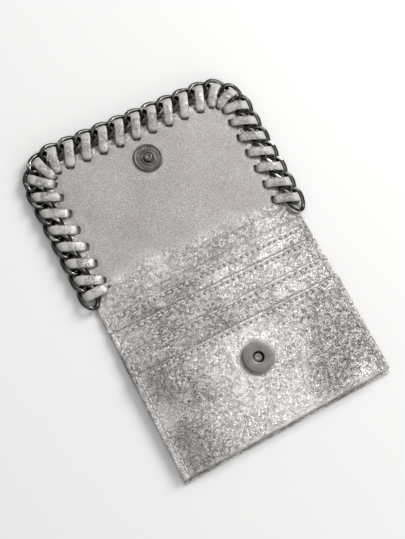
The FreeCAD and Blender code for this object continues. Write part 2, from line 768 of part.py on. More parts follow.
os.makedirs("parts", exist_ok=True)
for part in parts:
    part.Shape.exportStep(f"parts/{part.Label}.step")
print(f"{len(parts)} sub-parts, {LINK_COUNT} links at a pitch of {LINK_PITCH:.2f} mm")
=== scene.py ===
import json
import math

import bmesh
import bpy
import numpy as np
from mathutils import Matrix, Vector


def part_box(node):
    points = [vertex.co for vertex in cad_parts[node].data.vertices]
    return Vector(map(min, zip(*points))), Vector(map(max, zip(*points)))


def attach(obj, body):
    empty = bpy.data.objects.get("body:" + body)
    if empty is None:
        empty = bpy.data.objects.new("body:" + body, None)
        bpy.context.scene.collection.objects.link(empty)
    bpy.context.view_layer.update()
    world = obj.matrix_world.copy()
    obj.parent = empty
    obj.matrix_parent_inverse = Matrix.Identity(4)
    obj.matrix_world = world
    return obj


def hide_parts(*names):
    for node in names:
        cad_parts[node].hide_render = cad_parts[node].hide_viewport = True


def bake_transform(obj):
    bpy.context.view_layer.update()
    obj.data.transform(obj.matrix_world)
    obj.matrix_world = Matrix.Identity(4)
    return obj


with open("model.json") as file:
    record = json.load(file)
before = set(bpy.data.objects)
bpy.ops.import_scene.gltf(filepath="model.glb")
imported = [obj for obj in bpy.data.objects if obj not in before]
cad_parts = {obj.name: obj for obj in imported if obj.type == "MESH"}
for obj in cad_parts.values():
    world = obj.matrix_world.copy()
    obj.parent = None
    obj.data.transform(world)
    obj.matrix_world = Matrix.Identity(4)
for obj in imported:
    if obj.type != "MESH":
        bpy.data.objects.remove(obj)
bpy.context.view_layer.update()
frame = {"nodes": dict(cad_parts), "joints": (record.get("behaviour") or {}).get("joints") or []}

# The open chain wallet.  Shapes are worked out in millimetres in the CAD's own frame (+X across
# the pocket, +Y towards the tip of the flap, +Z up) and written to meshes in metres.
MM = 0.001


# ---- places read from the frame
def low_mm(node):
    return np.array(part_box(node)[0]) / MM


def high_mm(node):
    return np.array(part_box(node)[1]) / MM


def centre_mm(node):
    return (low_mm(node) + high_mm(node)) / 2


CREASES = {joint["name"]: np.array(joint["pos_m"]) / MM for joint in frame["joints"]}
LOWER_CREASE = CREASES["spine_fold"][1]
UPPER_CREASE = CREASES["flap_fold"][1]
SPINE_MIDDLE = (LOWER_CREASE + UPPER_CREASE) / 2
LINK_NODES = sorted(name for name in frame["nodes"] if name.startswith("chain_link"))
LINK_CENTRES = [centre_mm(name) for name in LINK_NODES]
POCKET_HALF = high_mm("back_panel")[0]
POCKET_BOTTOM = low_mm("front_panel")[1]
FLAP_HALF = high_mm("flap_outer")[0]
FLAP_TIP = high_mm("flap_outer")[1]
SEAM_X = centre_mm("side_stitches_right")[0]
EDGE_A = high_mm("card_panel")[1]
EDGE_B = high_mm("slot_strip_b")[1]
EDGE_C = high_mm("slot_strip_c")[1]
EDGE_D = high_mm("front_panel")[1]

# Sizes that the frame doesn't state.
FLAP_RADIUS = 10.3  # corners of the flap's leather
CREASE_REACH = 3.0  # the leather bends this far each side of a crease
SHOULDER = 7.5  # length over which the pocket's width narrows to the flap's
STEP = 1.0  # grid of a plain stretch of leather
SEWN_STEP = 0.5  # grid across a row of stitches
FLAP_STEP = 0.6  # grid along the flap, finer for its slits
FLAP_ACROSS = 0.8  # grid across the flap
RIM_SHARE = 0.47  # radius of a layer's rim, as a share of its thickness


# ---- small maths helpers
def smooth(t):
    t = np.clip(t, 0.0, 1.0)
    return t * t * (3 - 2 * t)


def unit(vectors):
    """Each vector at length 1."""
    return vectors / np.linalg.norm(vectors, axis=-1, keepdims=True)


def circle(count, start=0.0):
    """Angles round a full turn."""
    return 2 * math.pi * (np.arange(count) + start) / count


def ridge(distance, width):
    """1 on a line and 0 away from it."""
    return np.exp(-(distance / width) ** 2)


def swell(x, y, seed, wavelength):
    """A gentle undulation between about -1 and 1: a few crossed waves, the same every run."""
    random = np.random.RandomState(seed)
    total = 0.0
    for _ in range(6):
        angle = random.uniform(0, math.pi)
        length = wavelength * random.uniform(0.7, 1.6)
        phase = random.uniform(0, 2 * math.pi)
        across = x * math.cos(angle) + y * math.sin(angle)
        total = total + np.sin(2 * math.pi * across / length + phase)
    return total / 4


def rim_ease(radius, angles=(0, 22, 42, 60, 76)):
    """Distances in from an edge that crowd into a rounded rim of that radius."""
    return [radius * (1 - math.cos(math.radians(angle))) for angle in angles]


def rimmed(low, inner, high, ease):
    """Grid lines from low to high: the inner ones, and those of the rim at both ends."""
    return np.array([low + e for e in ease] + list(inner) + [high - e for e in reversed(ease)])


def rim_lines(low, high, step, radius=0.6):
    """Grid lines one step apart, with a rounded rim at both ends."""
    inner = np.linspace(low + radius, high - radius, max(2, round((high - low) / step) + 1))
    return rimmed(low, inner, high, rim_ease(radius))


def catmull(points, per_span):
    """A smooth line through every row of points, with per_span rows from each to the next."""
    rows = np.vstack([2 * points[0] - points[1], points, 2 * points[-1] - points[-2]])
    t = (np.arange(per_span) / per_span)[:, None]
    spans = []
    for a, b, c, d in zip(rows, rows[1:], rows[2:], rows[3:]):
        spans.append(0.5 * (2 * b + (c - a) * t + (2 * a - 5 * b + 4 * c - d) * t ** 2
                            + (3 * b - a - 3 * c + d) * t ** 3))
    return np.vstack(spans + [points[-1:]])


# ---- mesh helpers
def add_object(name, data):
    item = bpy.data.objects.new(name, data)
    bpy.context.scene.collection.objects.link(item)
    return item


def new_piece(name, points, faces, crisp_angle=50):
    """A mesh object from points in millimetres.  Its rest attribute keeps them for materials."""
    points = np.asarray(points, float)
    mesh = bpy.data.meshes.new(name)
    mesh.from_pydata((points * MM).tolist(), [], faces)
    keep = mesh.attributes.new("rest", "FLOAT_VECTOR", "POINT")
    keep.data.foreach_set("vector", points.astype(np.float32).ravel())
    mesh.polygons.foreach_set("use_smooth", [True] * len(mesh.polygons))
    mesh.update()
    mesh.set_sharp_from_angle(angle=math.radians(crisp_angle))
    return add_object(name, mesh)


def set_values(piece, name, values):
    """A number at every point of the mesh, for a material to read."""
    attribute = piece.data.attributes.new(name, "FLOAT", "POINT")
    attribute.data.foreach_set("value", np.asarray(values, np.float32).ravel())


def rest_mm(piece):
    points = np.zeros(len(piece.data.vertices) * 3, np.float32)
    piece.data.vertices.foreach_get("co", points)
    return points.reshape(-1, 3) / MM


def skin(name, upper, lower):
    """A closed skin from two grids of points of the same rows and columns, joined round the rim."""
    rows, columns = upper.shape[:2]
    count = rows * columns
    faces = []
    for r in range(rows - 1):
        for c in range(columns - 1):
            a = r * columns + c
            quad = (a, a + 1, a + columns + 1, a + columns)
            faces.append(quad)
            faces.append(tuple(count + k for k in quad[::-1]))
    rim = list(range(columns))
    rim += [r * columns + columns - 1 for r in range(1, rows)]
    rim += [(rows - 1) * columns + c for c in range(columns - 2, -1, -1)]
    rim += [r * columns for r in range(rows - 2, 0, -1)]
    for a, b in zip(rim, rim[1:] + rim[:1]):
        faces.append((b, a, count + a, count + b))
    return new_piece(name, np.vstack([upper.reshape(-1, 3), lower.reshape(-1, 3)]), faces)


def rim_drop(distance, radius):
    """How far a rounded rim of that radius has dropped, at a distance in from the outline."""
    inside = np.clip(radius - distance, 0, radius)
    return radius - np.sqrt(radius ** 2 - inside ** 2)


def layer(name, xs, ys, bottom, top, half_width=None, border=None):
    """A layer of leather between two height functions, with a rounded rim.  half_width(y) narrows
    the rows, and border(x, y) is the distance to the outline where that isn't a rectangle."""
    share, y = np.meshgrid(xs, ys)
    x = share * half_width(y) / xs[-1] if half_width else share
    if border:
        distance = border(x, y)
    else:
        distance = np.minimum(np.minimum(xs[-1] - abs(x), y - ys[0]), ys[-1] - y)
    low, high = bottom(x, y), top(x, y)
    ease = rim_drop(distance, RIM_SHARE * (high - low))
    upper = np.stack([x, y, high - ease], -1)
    lower = np.stack([x, y, low + ease], -1)
    return skin(name, upper, lower)


def tube_faces(rings, around, closed, first=0):
    """Faces between rings of points, joined end to end or capped.  first is the first point's number."""
    faces = []
    for ring in range(rings if closed else rings - 1):
        nxt = (ring + 1) % rings
        for k in range(around):
            beside = (k + 1) % around
            faces.append((ring * around + k, ring * around + beside, nxt * around + beside, nxt * around + k))
    if not closed:
        faces.append(tuple(range(around))[::-1])
        faces.append(tuple((rings - 1) * around + k for k in range(around)))
    return [tuple(first + k for k in face) for face in faces]


def rounded(outline, radius, steps=4):
    """Rounds every corner of an outline of (radius, height) points but the first and last."""
    done = [np.array(outline[0], float)]
    for before, corner, after in zip(outline, outline[1:], outline[2:]):
        before, corner, after = (np.array(p, float) for p in (before, corner, after))
        back, ahead = before - corner, after - corner
        reach = min(radius, 0.45 * np.linalg.norm(back), 0.45 * np.linalg.norm(ahead))
        start = corner + unit(back) * reach
        end = corner + unit(ahead) * reach
        for t in np.linspace(0, 1, steps + 1):
            done.append(start * (1 - t) ** 2 + corner * 2 * t * (1 - t) + end * t * t)
    done.append(np.array(outline[-1], float))
    return done


def level_ring(centre, radius, angles, height):
    """Points round the upright axis at centre."""
    x = centre[0] + radius * np.cos(angles)
    y = centre[1] + radius * np.sin(angles)
    return np.stack([x, y, np.broadcast_to(height, x.shape)], -1)


def turned(name, outline, centre, segments, ring=False):
    """A round piece: an outline of (radius, height) points turned about the upright axis at centre.
    It closes on itself as a ring, or its first and last ring are capped."""
    points = [level_ring(centre, radius, circle(segments), height) for radius, height in outline]
    faces = tube_faces(len(outline), segments, ring)
    return new_piece(name, np.vstack(points), faces, crisp_angle=35)


def fix_normals(piece):
    """Turns every face outwards."""
    work = bmesh.new()
    work.from_mesh(piece.data)
    bmesh.ops.recalc_face_normals(work, faces=work.faces)
    work.to_mesh(piece.data)
    work.free()


def place_piece(piece, body, slot, material, *nodes):
    """Gives a finished piece its material, attaches it to its body where that is a name and otherwise keeps
    it where it is, and hides the CAD nodes that it stands for.  Its slot argument is not used.
    """
    fix_normals(piece)
    piece.data.materials.append(material)
    if nodes:
        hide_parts(*nodes)
    if isinstance(body, str):
        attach(piece, body)
    else:
        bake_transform(piece)
    return piece


# ---- materials
def rgba(colour):
    """A colour of three numbers with its alpha, or a socket as it is."""
    return (*colour, 1.0) if isinstance(colour, tuple) else colour


class Shader:
    """Builds one material's nodes.  Every pattern is drawn in millimetres of the rest shape."""

    def __init__(self, name, cad_node=False):
        self.material = bpy.data.materials.new(name)
        self.material.use_nodes = True
        self.tree = self.material.node_tree
        self.tree.nodes.clear()
        if cad_node:
            metres = self.node("ShaderNodeTexCoord", {}).outputs["Object"]
            scale = {0: metres, "Scale": 1 / MM}
            self.rest = self.node("ShaderNodeVectorMath", scale, operation="SCALE").outputs[0]
        else:
            self.rest = self.attribute("rest", "Vector")

    def node(self, kind, inputs, **settings):
        node = self.tree.nodes.new(kind)
        for key, value in settings.items():
            setattr(node, key, value)
        for key, value in inputs.items():
            if isinstance(value, bpy.types.NodeSocket):
                self.tree.links.new(value, node.inputs[key])
            else:
                node.inputs[key].default_value = value
        return node

    def attribute(self, name, output="Fac"):
        return self.node("ShaderNodeAttribute", {}, attribute_name=name).outputs[output]

    def noise(self, scale, detail=2.0, rough=0.5, vector=None, output="Fac"):
        inputs = {"Vector": vector or self.rest, "Scale": scale, "Detail": detail, "Roughness": rough}
        return self.node("ShaderNodeTexNoise", inputs).outputs[output]

    def cells(self, scale, vector=None, feature="F1"):
        inputs = {"Vector": vector or self.rest, "Scale": scale}
        return self.node("ShaderNodeTexVoronoi", inputs, feature=feature).outputs

    def wave(self, scale, distortion, direction):
        inputs = {"Vector": self.rest, "Scale": scale, "Distortion": distortion}
        return self.node("ShaderNodeTexWave", inputs, bands_direction=direction).outputs["Fac"]

    def vector(self, operation, a, b):
        return self.node("ShaderNodeVectorMath", {0: a, 1: b}, operation=operation).outputs[0]

    def warped(self, scale, amount):
        """The rest position, pushed about by up to half of amount in millimetres."""
        push = self.vector("SUBTRACT", self.noise(scale, output="Color"), (0.5, 0.5, 0.5))
        push = self.node("ShaderNodeVectorMath", {0: push, "Scale": amount}, operation="SCALE").outputs[0]
        return self.vector("ADD", self.rest, push)

    def maths(self, operation, a, b=0.0):
        return self.node("ShaderNodeMath", {0: a, 1: b}, operation=operation).outputs[0]

    def span(self, value, low, high, to_low=0.0, to_high=1.0):
        """value from low..high to to_low..to_high, eased at both ends."""
        inputs = {"Value": value, "From Min": low, "From Max": high, "To Min": to_low, "To Max": to_high}
        return self.node("ShaderNodeMapRange", inputs, interpolation_type="SMOOTHSTEP").outputs["Result"]

    def mix(self, share, a, b):
        """From colour a to colour b by share."""
        inputs = {0: share, 6: rgba(a), 7: rgba(b)}
        return self.node("ShaderNodeMix", inputs, data_type="RGBA").outputs[2]

    def blend(self, share, a, b):
        """From number a to number b by share."""
        return self.node("ShaderNodeMix", {0: share, 2: a, 3: b}, data_type="FLOAT").outputs[0]

    def bump(self, height, depth=1.0):
        """A surface normal from a height in units of depth millimetres."""
        inputs = {"Height": height, "Distance": depth * MM, "Strength": 1.0}
        return self.node("ShaderNodeBump", inputs).outputs["Normal"]

    def surface(self, colour, metallic, roughness, normal, **extra):
        inputs = {"Base Color": rgba(colour), "Metallic": metallic, "Roughness": roughness, "Normal": normal}
        shader = self.node("ShaderNodeBsdfPrincipled", {**inputs, **extra})
        self.node("ShaderNodeOutputMaterial", {"Surface": shader.outputs["BSDF"]})
        return self.material


def facets(shader, scale, warped):
    """The foil's grains: each cell is a little flat facet that leans its own way.
    Gives the lean as a height, and a number of each cell's own between 0 and 1."""
    cells = shader.cells(scale, warped)
    lean = shader.vector("SUBTRACT", cells["Color"], (0.5, 0.5, 0.5))
    inside = shader.vector("SUBTRACT", warped, cells["Position"])
    dot = shader.node("ShaderNodeVectorMath", {0: lean, 1: inside}, operation="DOT_PRODUCT").outputs["Value"]
    own = shader.node("ShaderNodeSeparateColor", {"Color": cells["Color"]}).outputs["Blue"]
    return dot, own


def foil_parts(shader, crackle=1.0):
    """Colour, metallic, roughness and height of crackled pewter foil.  Where the mesh's gleam is
    high the foil is whole and bright, and where it is low it is worn through in dark flecks; in
    some places gleam is a painted highlight instead.  Painted shade from the mesh goes in as dark as a crack."""
    warped = shader.warped(0.7, 0.9)
    cloud = shader.maths("MULTIPLY", shader.maths("SUBTRACT", shader.noise(0.045, 2.5, 0.55), 0.5), 2.2)
    # gleam: foil wear, and a painted highlight where the mesh paints one (the front's bottom ridge, the lace
    # by its slits)
    gleam = shader.maths("ADD", shader.attribute("gleam"), cloud)
    worn = shader.span(gleam, -0.45, 0.35, 1.0, 0.0)
    bright = shader.span(gleam, 0.10, 0.85)
    wide = shader.cells(1.25, warped, "DISTANCE_TO_EDGE")["Distance"]
    fine = shader.cells(2.6, warped, "DISTANCE_TO_EDGE")["Distance"]
    wide_crack = shader.span(wide, 0.0, shader.blend(worn, 0.05 * crackle, 0.17 * crackle), 1.0, 0.0)
    fine_crack = shader.span(fine, 0.0, shader.blend(worn, 0.04 * crackle, 0.16 * crackle), 1.0, 0.0)
    broken = shader.span(shader.noise(0.5), 0.44, 0.58)
    threshold = shader.blend(worn, 0.67, 0.565)
    speckle = shader.noise(1.65, rough=0.6)
    fleck = shader.span(shader.maths("SUBTRACT", speckle, threshold), 0.0, 0.05)
    crack = shader.maths("MAXIMUM", wide_crack, fine_crack)
    crack = shader.maths("MULTIPLY", crack, shader.blend(broken, 0.25, 0.8))
    crack = shader.maths("MAXIMUM", crack, fleck)
    lean, own = facets(shader, 2.5, warped)
    grain = shader.mix(own, (0.40, 0.38, 0.37), (0.71, 0.68, 0.67))
    grain = shader.mix(shader.span(own, 0.80, 0.86), grain, (1.0, 0.98, 0.97))
    # bright lightens the grains: whole foil, and painted highlight
    grain = shader.mix(shader.maths("MULTIPLY", bright, 0.60), grain, (0.84, 0.82, 0.81))
    grain = shader.mix(shader.maths("MULTIPLY", worn, 0.35), grain, (0.30, 0.285, 0.275))
    # painted shade from the mesh: needle holes, under lips and round the snap, drawn in as dark as a crack
    crack = shader.maths("MAXIMUM", crack, shader.attribute("painted_shade"))
    colour = shader.mix(crack, grain, (0.035, 0.032, 0.03))
    metallic = shader.blend(crack, 0.85, 0.15)
    roughness = shader.blend(crack, 0.36, 0.75)
    height = shader.maths("ADD", shader.maths("MULTIPLY", lean, 0.42), shader.maths("MULTIPLY", crack, -0.08))
    return colour, metallic, roughness, height


def foil_leather():
    """Pewter foil over leather, broken into bright grains by dark cracks, worn more in patches, with painted
    highlights and painted shade where the mesh carries them.
    """
    shader = Shader("foil_leather")
    colour, metallic, roughness, height = foil_parts(shader)
    return shader.surface(colour, metallic, roughness, shader.bump(height))


def fine_parts(shader):
    """Colour, metallic, roughness and height of the smooth metallic grain inside the flap."""
    speck = shader.noise(1.7, 3.0, 0.7)
    cloud = shader.noise(0.05, 3.0)
    colour = shader.mix(shader.span(cloud, 0.3, 0.7), (0.365, 0.342, 0.334), (0.44, 0.415, 0.406))
    colour = shader.mix(shader.span(speck, 0.36, 0.62), shader.mix(0.6, colour, (0.20, 0.185, 0.18)), colour)
    colour = shader.mix(shader.span(shader.noise(2.3), 0.62, 0.70, 0.0, 0.6), colour, (0.80, 0.78, 0.77))
    pores = shader.cells(1.6, shader.warped(0.9, 0.6), "DISTANCE_TO_EDGE")["Distance"]
    height = shader.maths("MULTIPLY", shader.span(pores, 0.0, 0.2), 0.05)
    height = shader.maths("ADD", height, shader.maths("MULTIPLY", speck, 0.16))
    return colour, 0.55, 0.48, height


def flap_leather():
    """The flap's inner face: fine grained, and crackled like the foil where wear is 1."""
    shader = Shader("flap_lining_leather")
    worn = shader.attribute("wear")
    foil = foil_parts(shader)
    fine = fine_parts(shader)
    colour = shader.mix(worn, fine[0], foil[0])
    numbers = [shader.blend(worn, a, b) for a, b in zip(fine[1:], foil[1:])]
    return shader.surface(colour, numbers[0], numbers[1], shader.bump(numbers[2]))


def lace_leather():
    """The lace: foil where tone is 0, and its pale plain edge where tone is 1.  Its foil is darkened with
    painted shade, less near the slits, where gleam paints a highlight.
    """
    shader = Shader("lace_leather")
    tone = shader.attribute("tone")
    foil = foil_parts(shader, 0.6)
    plain = shader.mix(shader.noise(1.2, 3.0), (0.40, 0.395, 0.36), (0.50, 0.49, 0.455))
    # painted shade over the lace's foil, fading out where its painted highlight is
    painted_lace_shade = shader.span(shader.attribute("gleam"), 0.0, 1.0, 0.36, 0.05)
    colour = shader.mix(tone, shader.mix(painted_lace_shade, foil[0], (0.22, 0.21, 0.20)), plain)
    metallic = shader.blend(tone, foil[1], 0.05)
    roughness = shader.blend(tone, foil[2], 0.5)
    height = shader.blend(tone, foil[3], shader.maths("MULTIPLY", shader.noise(2.5), 0.05))
    return shader.surface(colour, metallic, roughness, shader.bump(height))


def woven_fabric():
    """A plain-woven lining: crossing threads from two waves, a thread each 0.35 mm."""
    shader = Shader("lining_fabric")
    weave = shader.maths("MAXIMUM", shader.wave(0.9, 0.3, "X"), shader.wave(0.9, 0.3, "Y"))
    colour = shader.mix(weave, (0.10, 0.095, 0.09), (0.26, 0.245, 0.235))
    colour = shader.mix(shader.maths("MULTIPLY", shader.noise(0.3), 0.4), colour, (0.18, 0.17, 0.165))
    height = shader.maths("MULTIPLY", weave, 0.08)
    return shader.surface(colour, 0.0, 0.8, shader.bump(height), **{"Sheen Weight": 0.3})


def thread():
    """Twisted polyester: fine slanting strands and a little fuzz."""
    shader = Shader("thread")
    strand = shader.wave(1.6, 1.2, "DIAGONAL")
    colour = shader.mix(strand, (0.36, 0.345, 0.335), (0.78, 0.76, 0.745))
    colour = shader.mix(shader.span(shader.noise(2.2), 0.4, 0.7), colour, (0.62, 0.60, 0.585))
    height = shader.maths("MULTIPLY", strand, 0.05)
    return shader.surface(colour, 0.15, 0.5, shader.bump(height), **{"Sheen Weight": 0.4})


def metal(name, dark, light, low_rough, high_rough, speck=0.0, cad_node=False, edge=1.0):
    """Plated metal: smudges in its colour and polish, and specks of wear.  A value from the mesh
    lightens it more: worn raised ticks on the disc, and painted highlight on the chain.  Painted
    shade from the mesh darkens it in the snap's hole.  A low edge keeps the plating dark where it
    is seen at a glancing angle."""
    shader = Shader(name, cad_node)
    smudge = shader.span(shader.noise(0.35, 3.0, 0.6), 0.3, 0.7)
    fine = shader.noise(2.4, 4.0, 0.7)
    colour = shader.mix(smudge, dark, light)
    worn = shader.span(shader.noise(1.3, 4.0, 0.75), 0.62, 0.72, 0.0, speck)
    # wear, and painted highlight on the chain's links
    worn = shader.maths("MAXIMUM", worn, shader.attribute("wear_and_painted_highlight"))
    colour = shader.mix(worn, colour, (0.62, 0.61, 0.59))
    # painted shade in the snap's hole
    colour = shader.mix(shader.attribute("painted_shade"), colour, (0.004, 0.004, 0.004))
    roughness = shader.blend(shader.maths("MULTIPLY", smudge, fine), low_rough, high_rough)
    height = shader.maths("MULTIPLY", fine, 0.012)
    tint = (edge, edge, edge, 1.0)
    return shader.surface(colour, 1.0, roughness, shader.bump(height), **{"Specular Tint": tint})


FOIL = foil_leather()
FLAP_INSIDE = flap_leather()
LACE = lace_leather()
FABRIC = woven_fabric()
THREAD = thread()
CHAIN = metal("chain_metal", (0.050, 0.049, 0.045), (0.085, 0.083, 0.077), 0.14, 0.26, edge=0.05)
CASE = metal("snap_case_metal", (0.235, 0.218, 0.208), (0.265, 0.248, 0.238), 0.30, 0.46, speck=0.10)
DISC = metal("snap_disc_metal", (0.095, 0.091, 0.083), (0.145, 0.139, 0.127), 0.30, 0.50, speck=0.35)
HIDDEN_STEEL = metal("plated_steel_inside", (0.40, 0.39, 0.37), (0.52, 0.51, 0.49), 0.22, 0.40,
                     speck=0.3, cad_node=True)
HIDDEN_MAGNET = metal("magnet_plating", (0.30, 0.30, 0.30), (0.42, 0.42, 0.41), 0.25, 0.45,
                      speck=0.3, cad_node=True)


# ---- the pocket's layers
PINCH_START = 38.0  # the layers draw together from here to the side seam
STITCH_PITCH = 3.0
ROW_A, ROW_B, ROW_C, ROW_D = (centre_mm("edge_stitches_" + letter)[1] for letter in "abcd")
SIDE_LOW = low_mm("side_stitches_left")[1]
SIDE_HIGH = high_mm("side_stitches_left")[1]
EDGE_STITCHES = 31
SIDE_STITCHES = 23
HOLE_DEPTH = 0.30
HOLE_WIDE = 0.55
GROOVE_DEPTH = 0.14  # under a row of edge stitches
SIDE_GROOVE_DEPTH = 0.22
FOLD_ROLL = 0.16  # how much a strip's folded edge stands up
FOLD_SINK = 0.10  # and how much lower its leather is beyond the stitches
GAPE = 0.5  # how far the mouth of a slot stands open
STRIP_THICK = 0.65
CLOTH_THICK = 0.28
CLOTH_SEWN_THICK = 0.10  # the same cloth pressed flat in the side seam

# Heights of the layers in the middle of the pocket and at its side seams.
CARD_LOW = (2.25, 1.85)
CARD_TOP = (2.95, 2.45)
STRIP_B_LOW = (3.40, 2.55)
STRIP_C_LOW = (4.40, 3.25)
CLOTH_LOW = {"slot_lining_b": (3.05, 2.46), "slot_lining_c": (4.08, 3.16), "front_lining": (5.10, 3.86)}
FRONT_TOP = (6.5, 4.9)
FRONT_SEWN_DOWN = 0.45  # how much lower the front's side seam is, away from its top edge
LAY_FLAT = 12.0  # the front stays flat this far up from its bottom


def pinch(x):
    """0 in the middle of the pocket, 1 at the side seams and beyond."""
    return smooth((abs(x) - PINCH_START) / (SEAM_X - PINCH_START))


def between(x, middle, seam):
    return middle + (seam - middle) * pinch(x)


def lie(x, y):
    """How far the soft layers lie above or below flat, all together so that they stay nested."""
    return 0.16 * swell(x, y, 11, 55.0) * (1 - pinch(x))


def side_seam(x):
    """The seam's groove, and the roll of leather outside it."""
    out = abs(x) - SEAM_X
    return 0.07 * ridge(out - 1.5, 0.9) - SIDE_GROOVE_DEPTH * ridge(out, 0.45)


def needle_holes(x, y, row):
    """1 in each needle hole of a row of edge stitches."""
    past = (x - STITCH_PITCH / 2) % STITCH_PITCH
    along = 1 - smooth((abs(x) - EDGE_STITCHES * STITCH_PITCH / 2) / 1.0)
    return ridge(np.minimum(past, STITCH_PITCH - past), HOLE_WIDE) * ridge(y - row, HOLE_WIDE) * along


def edge_seam(x, y, edge, row):
    """The fold of a strip's edge, the groove under its stitches, and the needle holes in it."""
    along = 1 - smooth((abs(x) - EDGE_STITCHES * STITCH_PITCH / 2) / 1.5)
    groove = GROOVE_DEPTH * ridge(y - row, 0.5) * along + HOLE_DEPTH * needle_holes(x, y, row)
    roll = FOLD_ROLL * ridge(y - (edge + row) / 2, 0.8)
    sink = FOLD_SINK * smooth((row - 1.0 - y) / 2.0)
    return roll - groove - sink


def side_holes(x, y):
    """1 in each needle hole of the side seams."""
    step = (SIDE_HIGH - SIDE_LOW) / SIDE_STITCHES
    past = (y - SIDE_LOW) % step
    return ridge(np.minimum(past, step - past), 0.6) * ridge(abs(x) - SEAM_X, HOLE_WIDE)


SNAP_RING = 7.5  # radius of a ring of painted shade round the snap
SNAP_COVER = 5.0  # the leather is hidden, and painted dark as shade, this far from its middle


def set_painted_shade(piece, row, lip=None, snap=None):
    """Paints shade: darkens the needle holes of a row and of the side seams, the leather close under a
    lip, and the leather under a snap and in a ring round it."""
    x, y, _ = rest_mm(piece).T
    painted_shade = np.maximum(0.95 * side_holes(x, y), needle_holes(x, y, row))
    if lip is not None:
        painted_shade = np.maximum(painted_shade, 0.75 * (1 - smooth((y - lip) / 0.9)) * (y > lip - 3.0))
    if snap is not None:
        out = np.hypot(x - snap[0], y - snap[1])
        painted_shade = np.maximum(painted_shade, 0.55 * ridge(out - SNAP_RING, 0.75))
        painted_shade = np.maximum(painted_shade, out < SNAP_COVER)
    set_values(piece, "painted_shade", painted_shade)


def gape(x, y, edge):
    """The mouth of a slot stands a little open in the middle."""
    return GAPE * (1 - pinch(x)) * smooth((y - edge + 9.0) / 9.0)


def card_low(x, y):
    return between(x, *CARD_LOW) + lie(x, y)


def card_top(x, y):
    return between(x, *CARD_TOP) + lie(x, y) + edge_seam(x, y, EDGE_A, ROW_A) + side_seam(x)


def strip_heights(foot, edge, row):
    """The bottom and top height functions of a slot's strip."""
    def low(x, y):
        return between(x, *foot) + lie(x, y) + gape(x, y, edge)

    def top(x, y):
        return low(x, y) + STRIP_THICK + edge_seam(x, y, edge, row) + side_seam(x)

    return low, top


STRIP_B_HEIGHTS = strip_heights(STRIP_B_LOW, EDGE_B, ROW_B)
STRIP_C_HEIGHTS = strip_heights(STRIP_C_LOW, EDGE_C, ROW_C)


def front_crown(x, y):
    """The front panel swells a little between its seams, and lies flat where the closed flap's
    lace rests on it."""
    across = 1 - pinch(x)
    along = smooth((EDGE_D - y) / 14.0) * smooth((y - POCKET_BOTTOM - LAY_FLAT) / 16.0)
    return (0.35 + 0.22 * swell(x, y, 23, 42.0)) * across * along


def front_top(x, y):
    middle, seam = FRONT_TOP
    seam = seam - FRONT_SEWN_DOWN * smooth((EDGE_D - 5.0 - y) / 6.0)
    soft = lie(x, y) * 0.6 + front_crown(x, y) + gape(x, y, EDGE_D)
    return between(x, middle, seam) + soft + edge_seam(x, y, EDGE_D, ROW_D) + side_seam(x)


def topmost(x, y):
    """Height of whichever layer shows at a place on the pocket."""
    for edge, top in ((EDGE_D, front_top), (EDGE_C, STRIP_C_HEIGHTS[1]), (EDGE_B, STRIP_B_HEIGHTS[1])):
        if y < edge - 0.2:
            return top(x, y)
    return card_top(x, y)


def sewn_columns(half):
    """Columns that fall on the needle holes, and crowd at the borders."""
    last = math.floor(half - 1)
    return rimmed(-half, np.arange(-last, last + SEWN_STEP / 2, SEWN_STEP), half, rim_ease(0.6))


def sewn_rows(low, high, row):
    """Rows a step apart, closer round a row of stitches near the top edge."""
    near = list(np.arange(row - 1.2, high - 0.45, 0.25))
    far = list(np.linspace(low + 0.5, row - 1.6, max(2, round((row - low) / STEP))))
    return rimmed(low, far + near, high, rim_ease(0.45, (0, 25, 50, 75)))


def make_sewn(name, node, edge, row, heights, lip):
    """A leather layer with stitches along its top edge, and painted shade under the lip of the next layer
    over it.
    """
    rows = sewn_rows(low_mm(node)[1], edge, row)
    piece = layer(name, sewn_columns(high_mm(node)[0]), rows, *heights)
    # painted shade in the needle holes and under the next layer's lip
    set_painted_shade(piece, row, lip)
    place_piece(piece, "root", "foil_leather", FOIL, node)


def make_fabric(node):
    """A lining behind a slot: thin woven cloth, sewn in at the sides."""
    middle, seam = CLOTH_LOW[node]
    bottom = low_mm(node)[1]
    right, top, _ = high_mm(node)
    piece = layer(
        node + "_cloth",
        rim_lines(-right, right, STEP), rim_lines(bottom, top, STEP),
        lambda x, y: between(x, middle, seam) + lie(x, y),
        lambda x, y: between(x, middle + CLOTH_THICK, seam + CLOTH_SEWN_THICK) + lie(x, y),
    )
    place_piece(piece, "root", "lining_fabric", FABRIC, node)


FRONT_THICK = 0.9
FRONT_SIDE_THICK = 1.25  # the same leather where the side seam gathers it
FRONT_RIM = 0.45  # radius that rounds its side edges
LIP = 1.7  # the back panel shows this far past the rounded bottom
BACK_TOP = 1.2


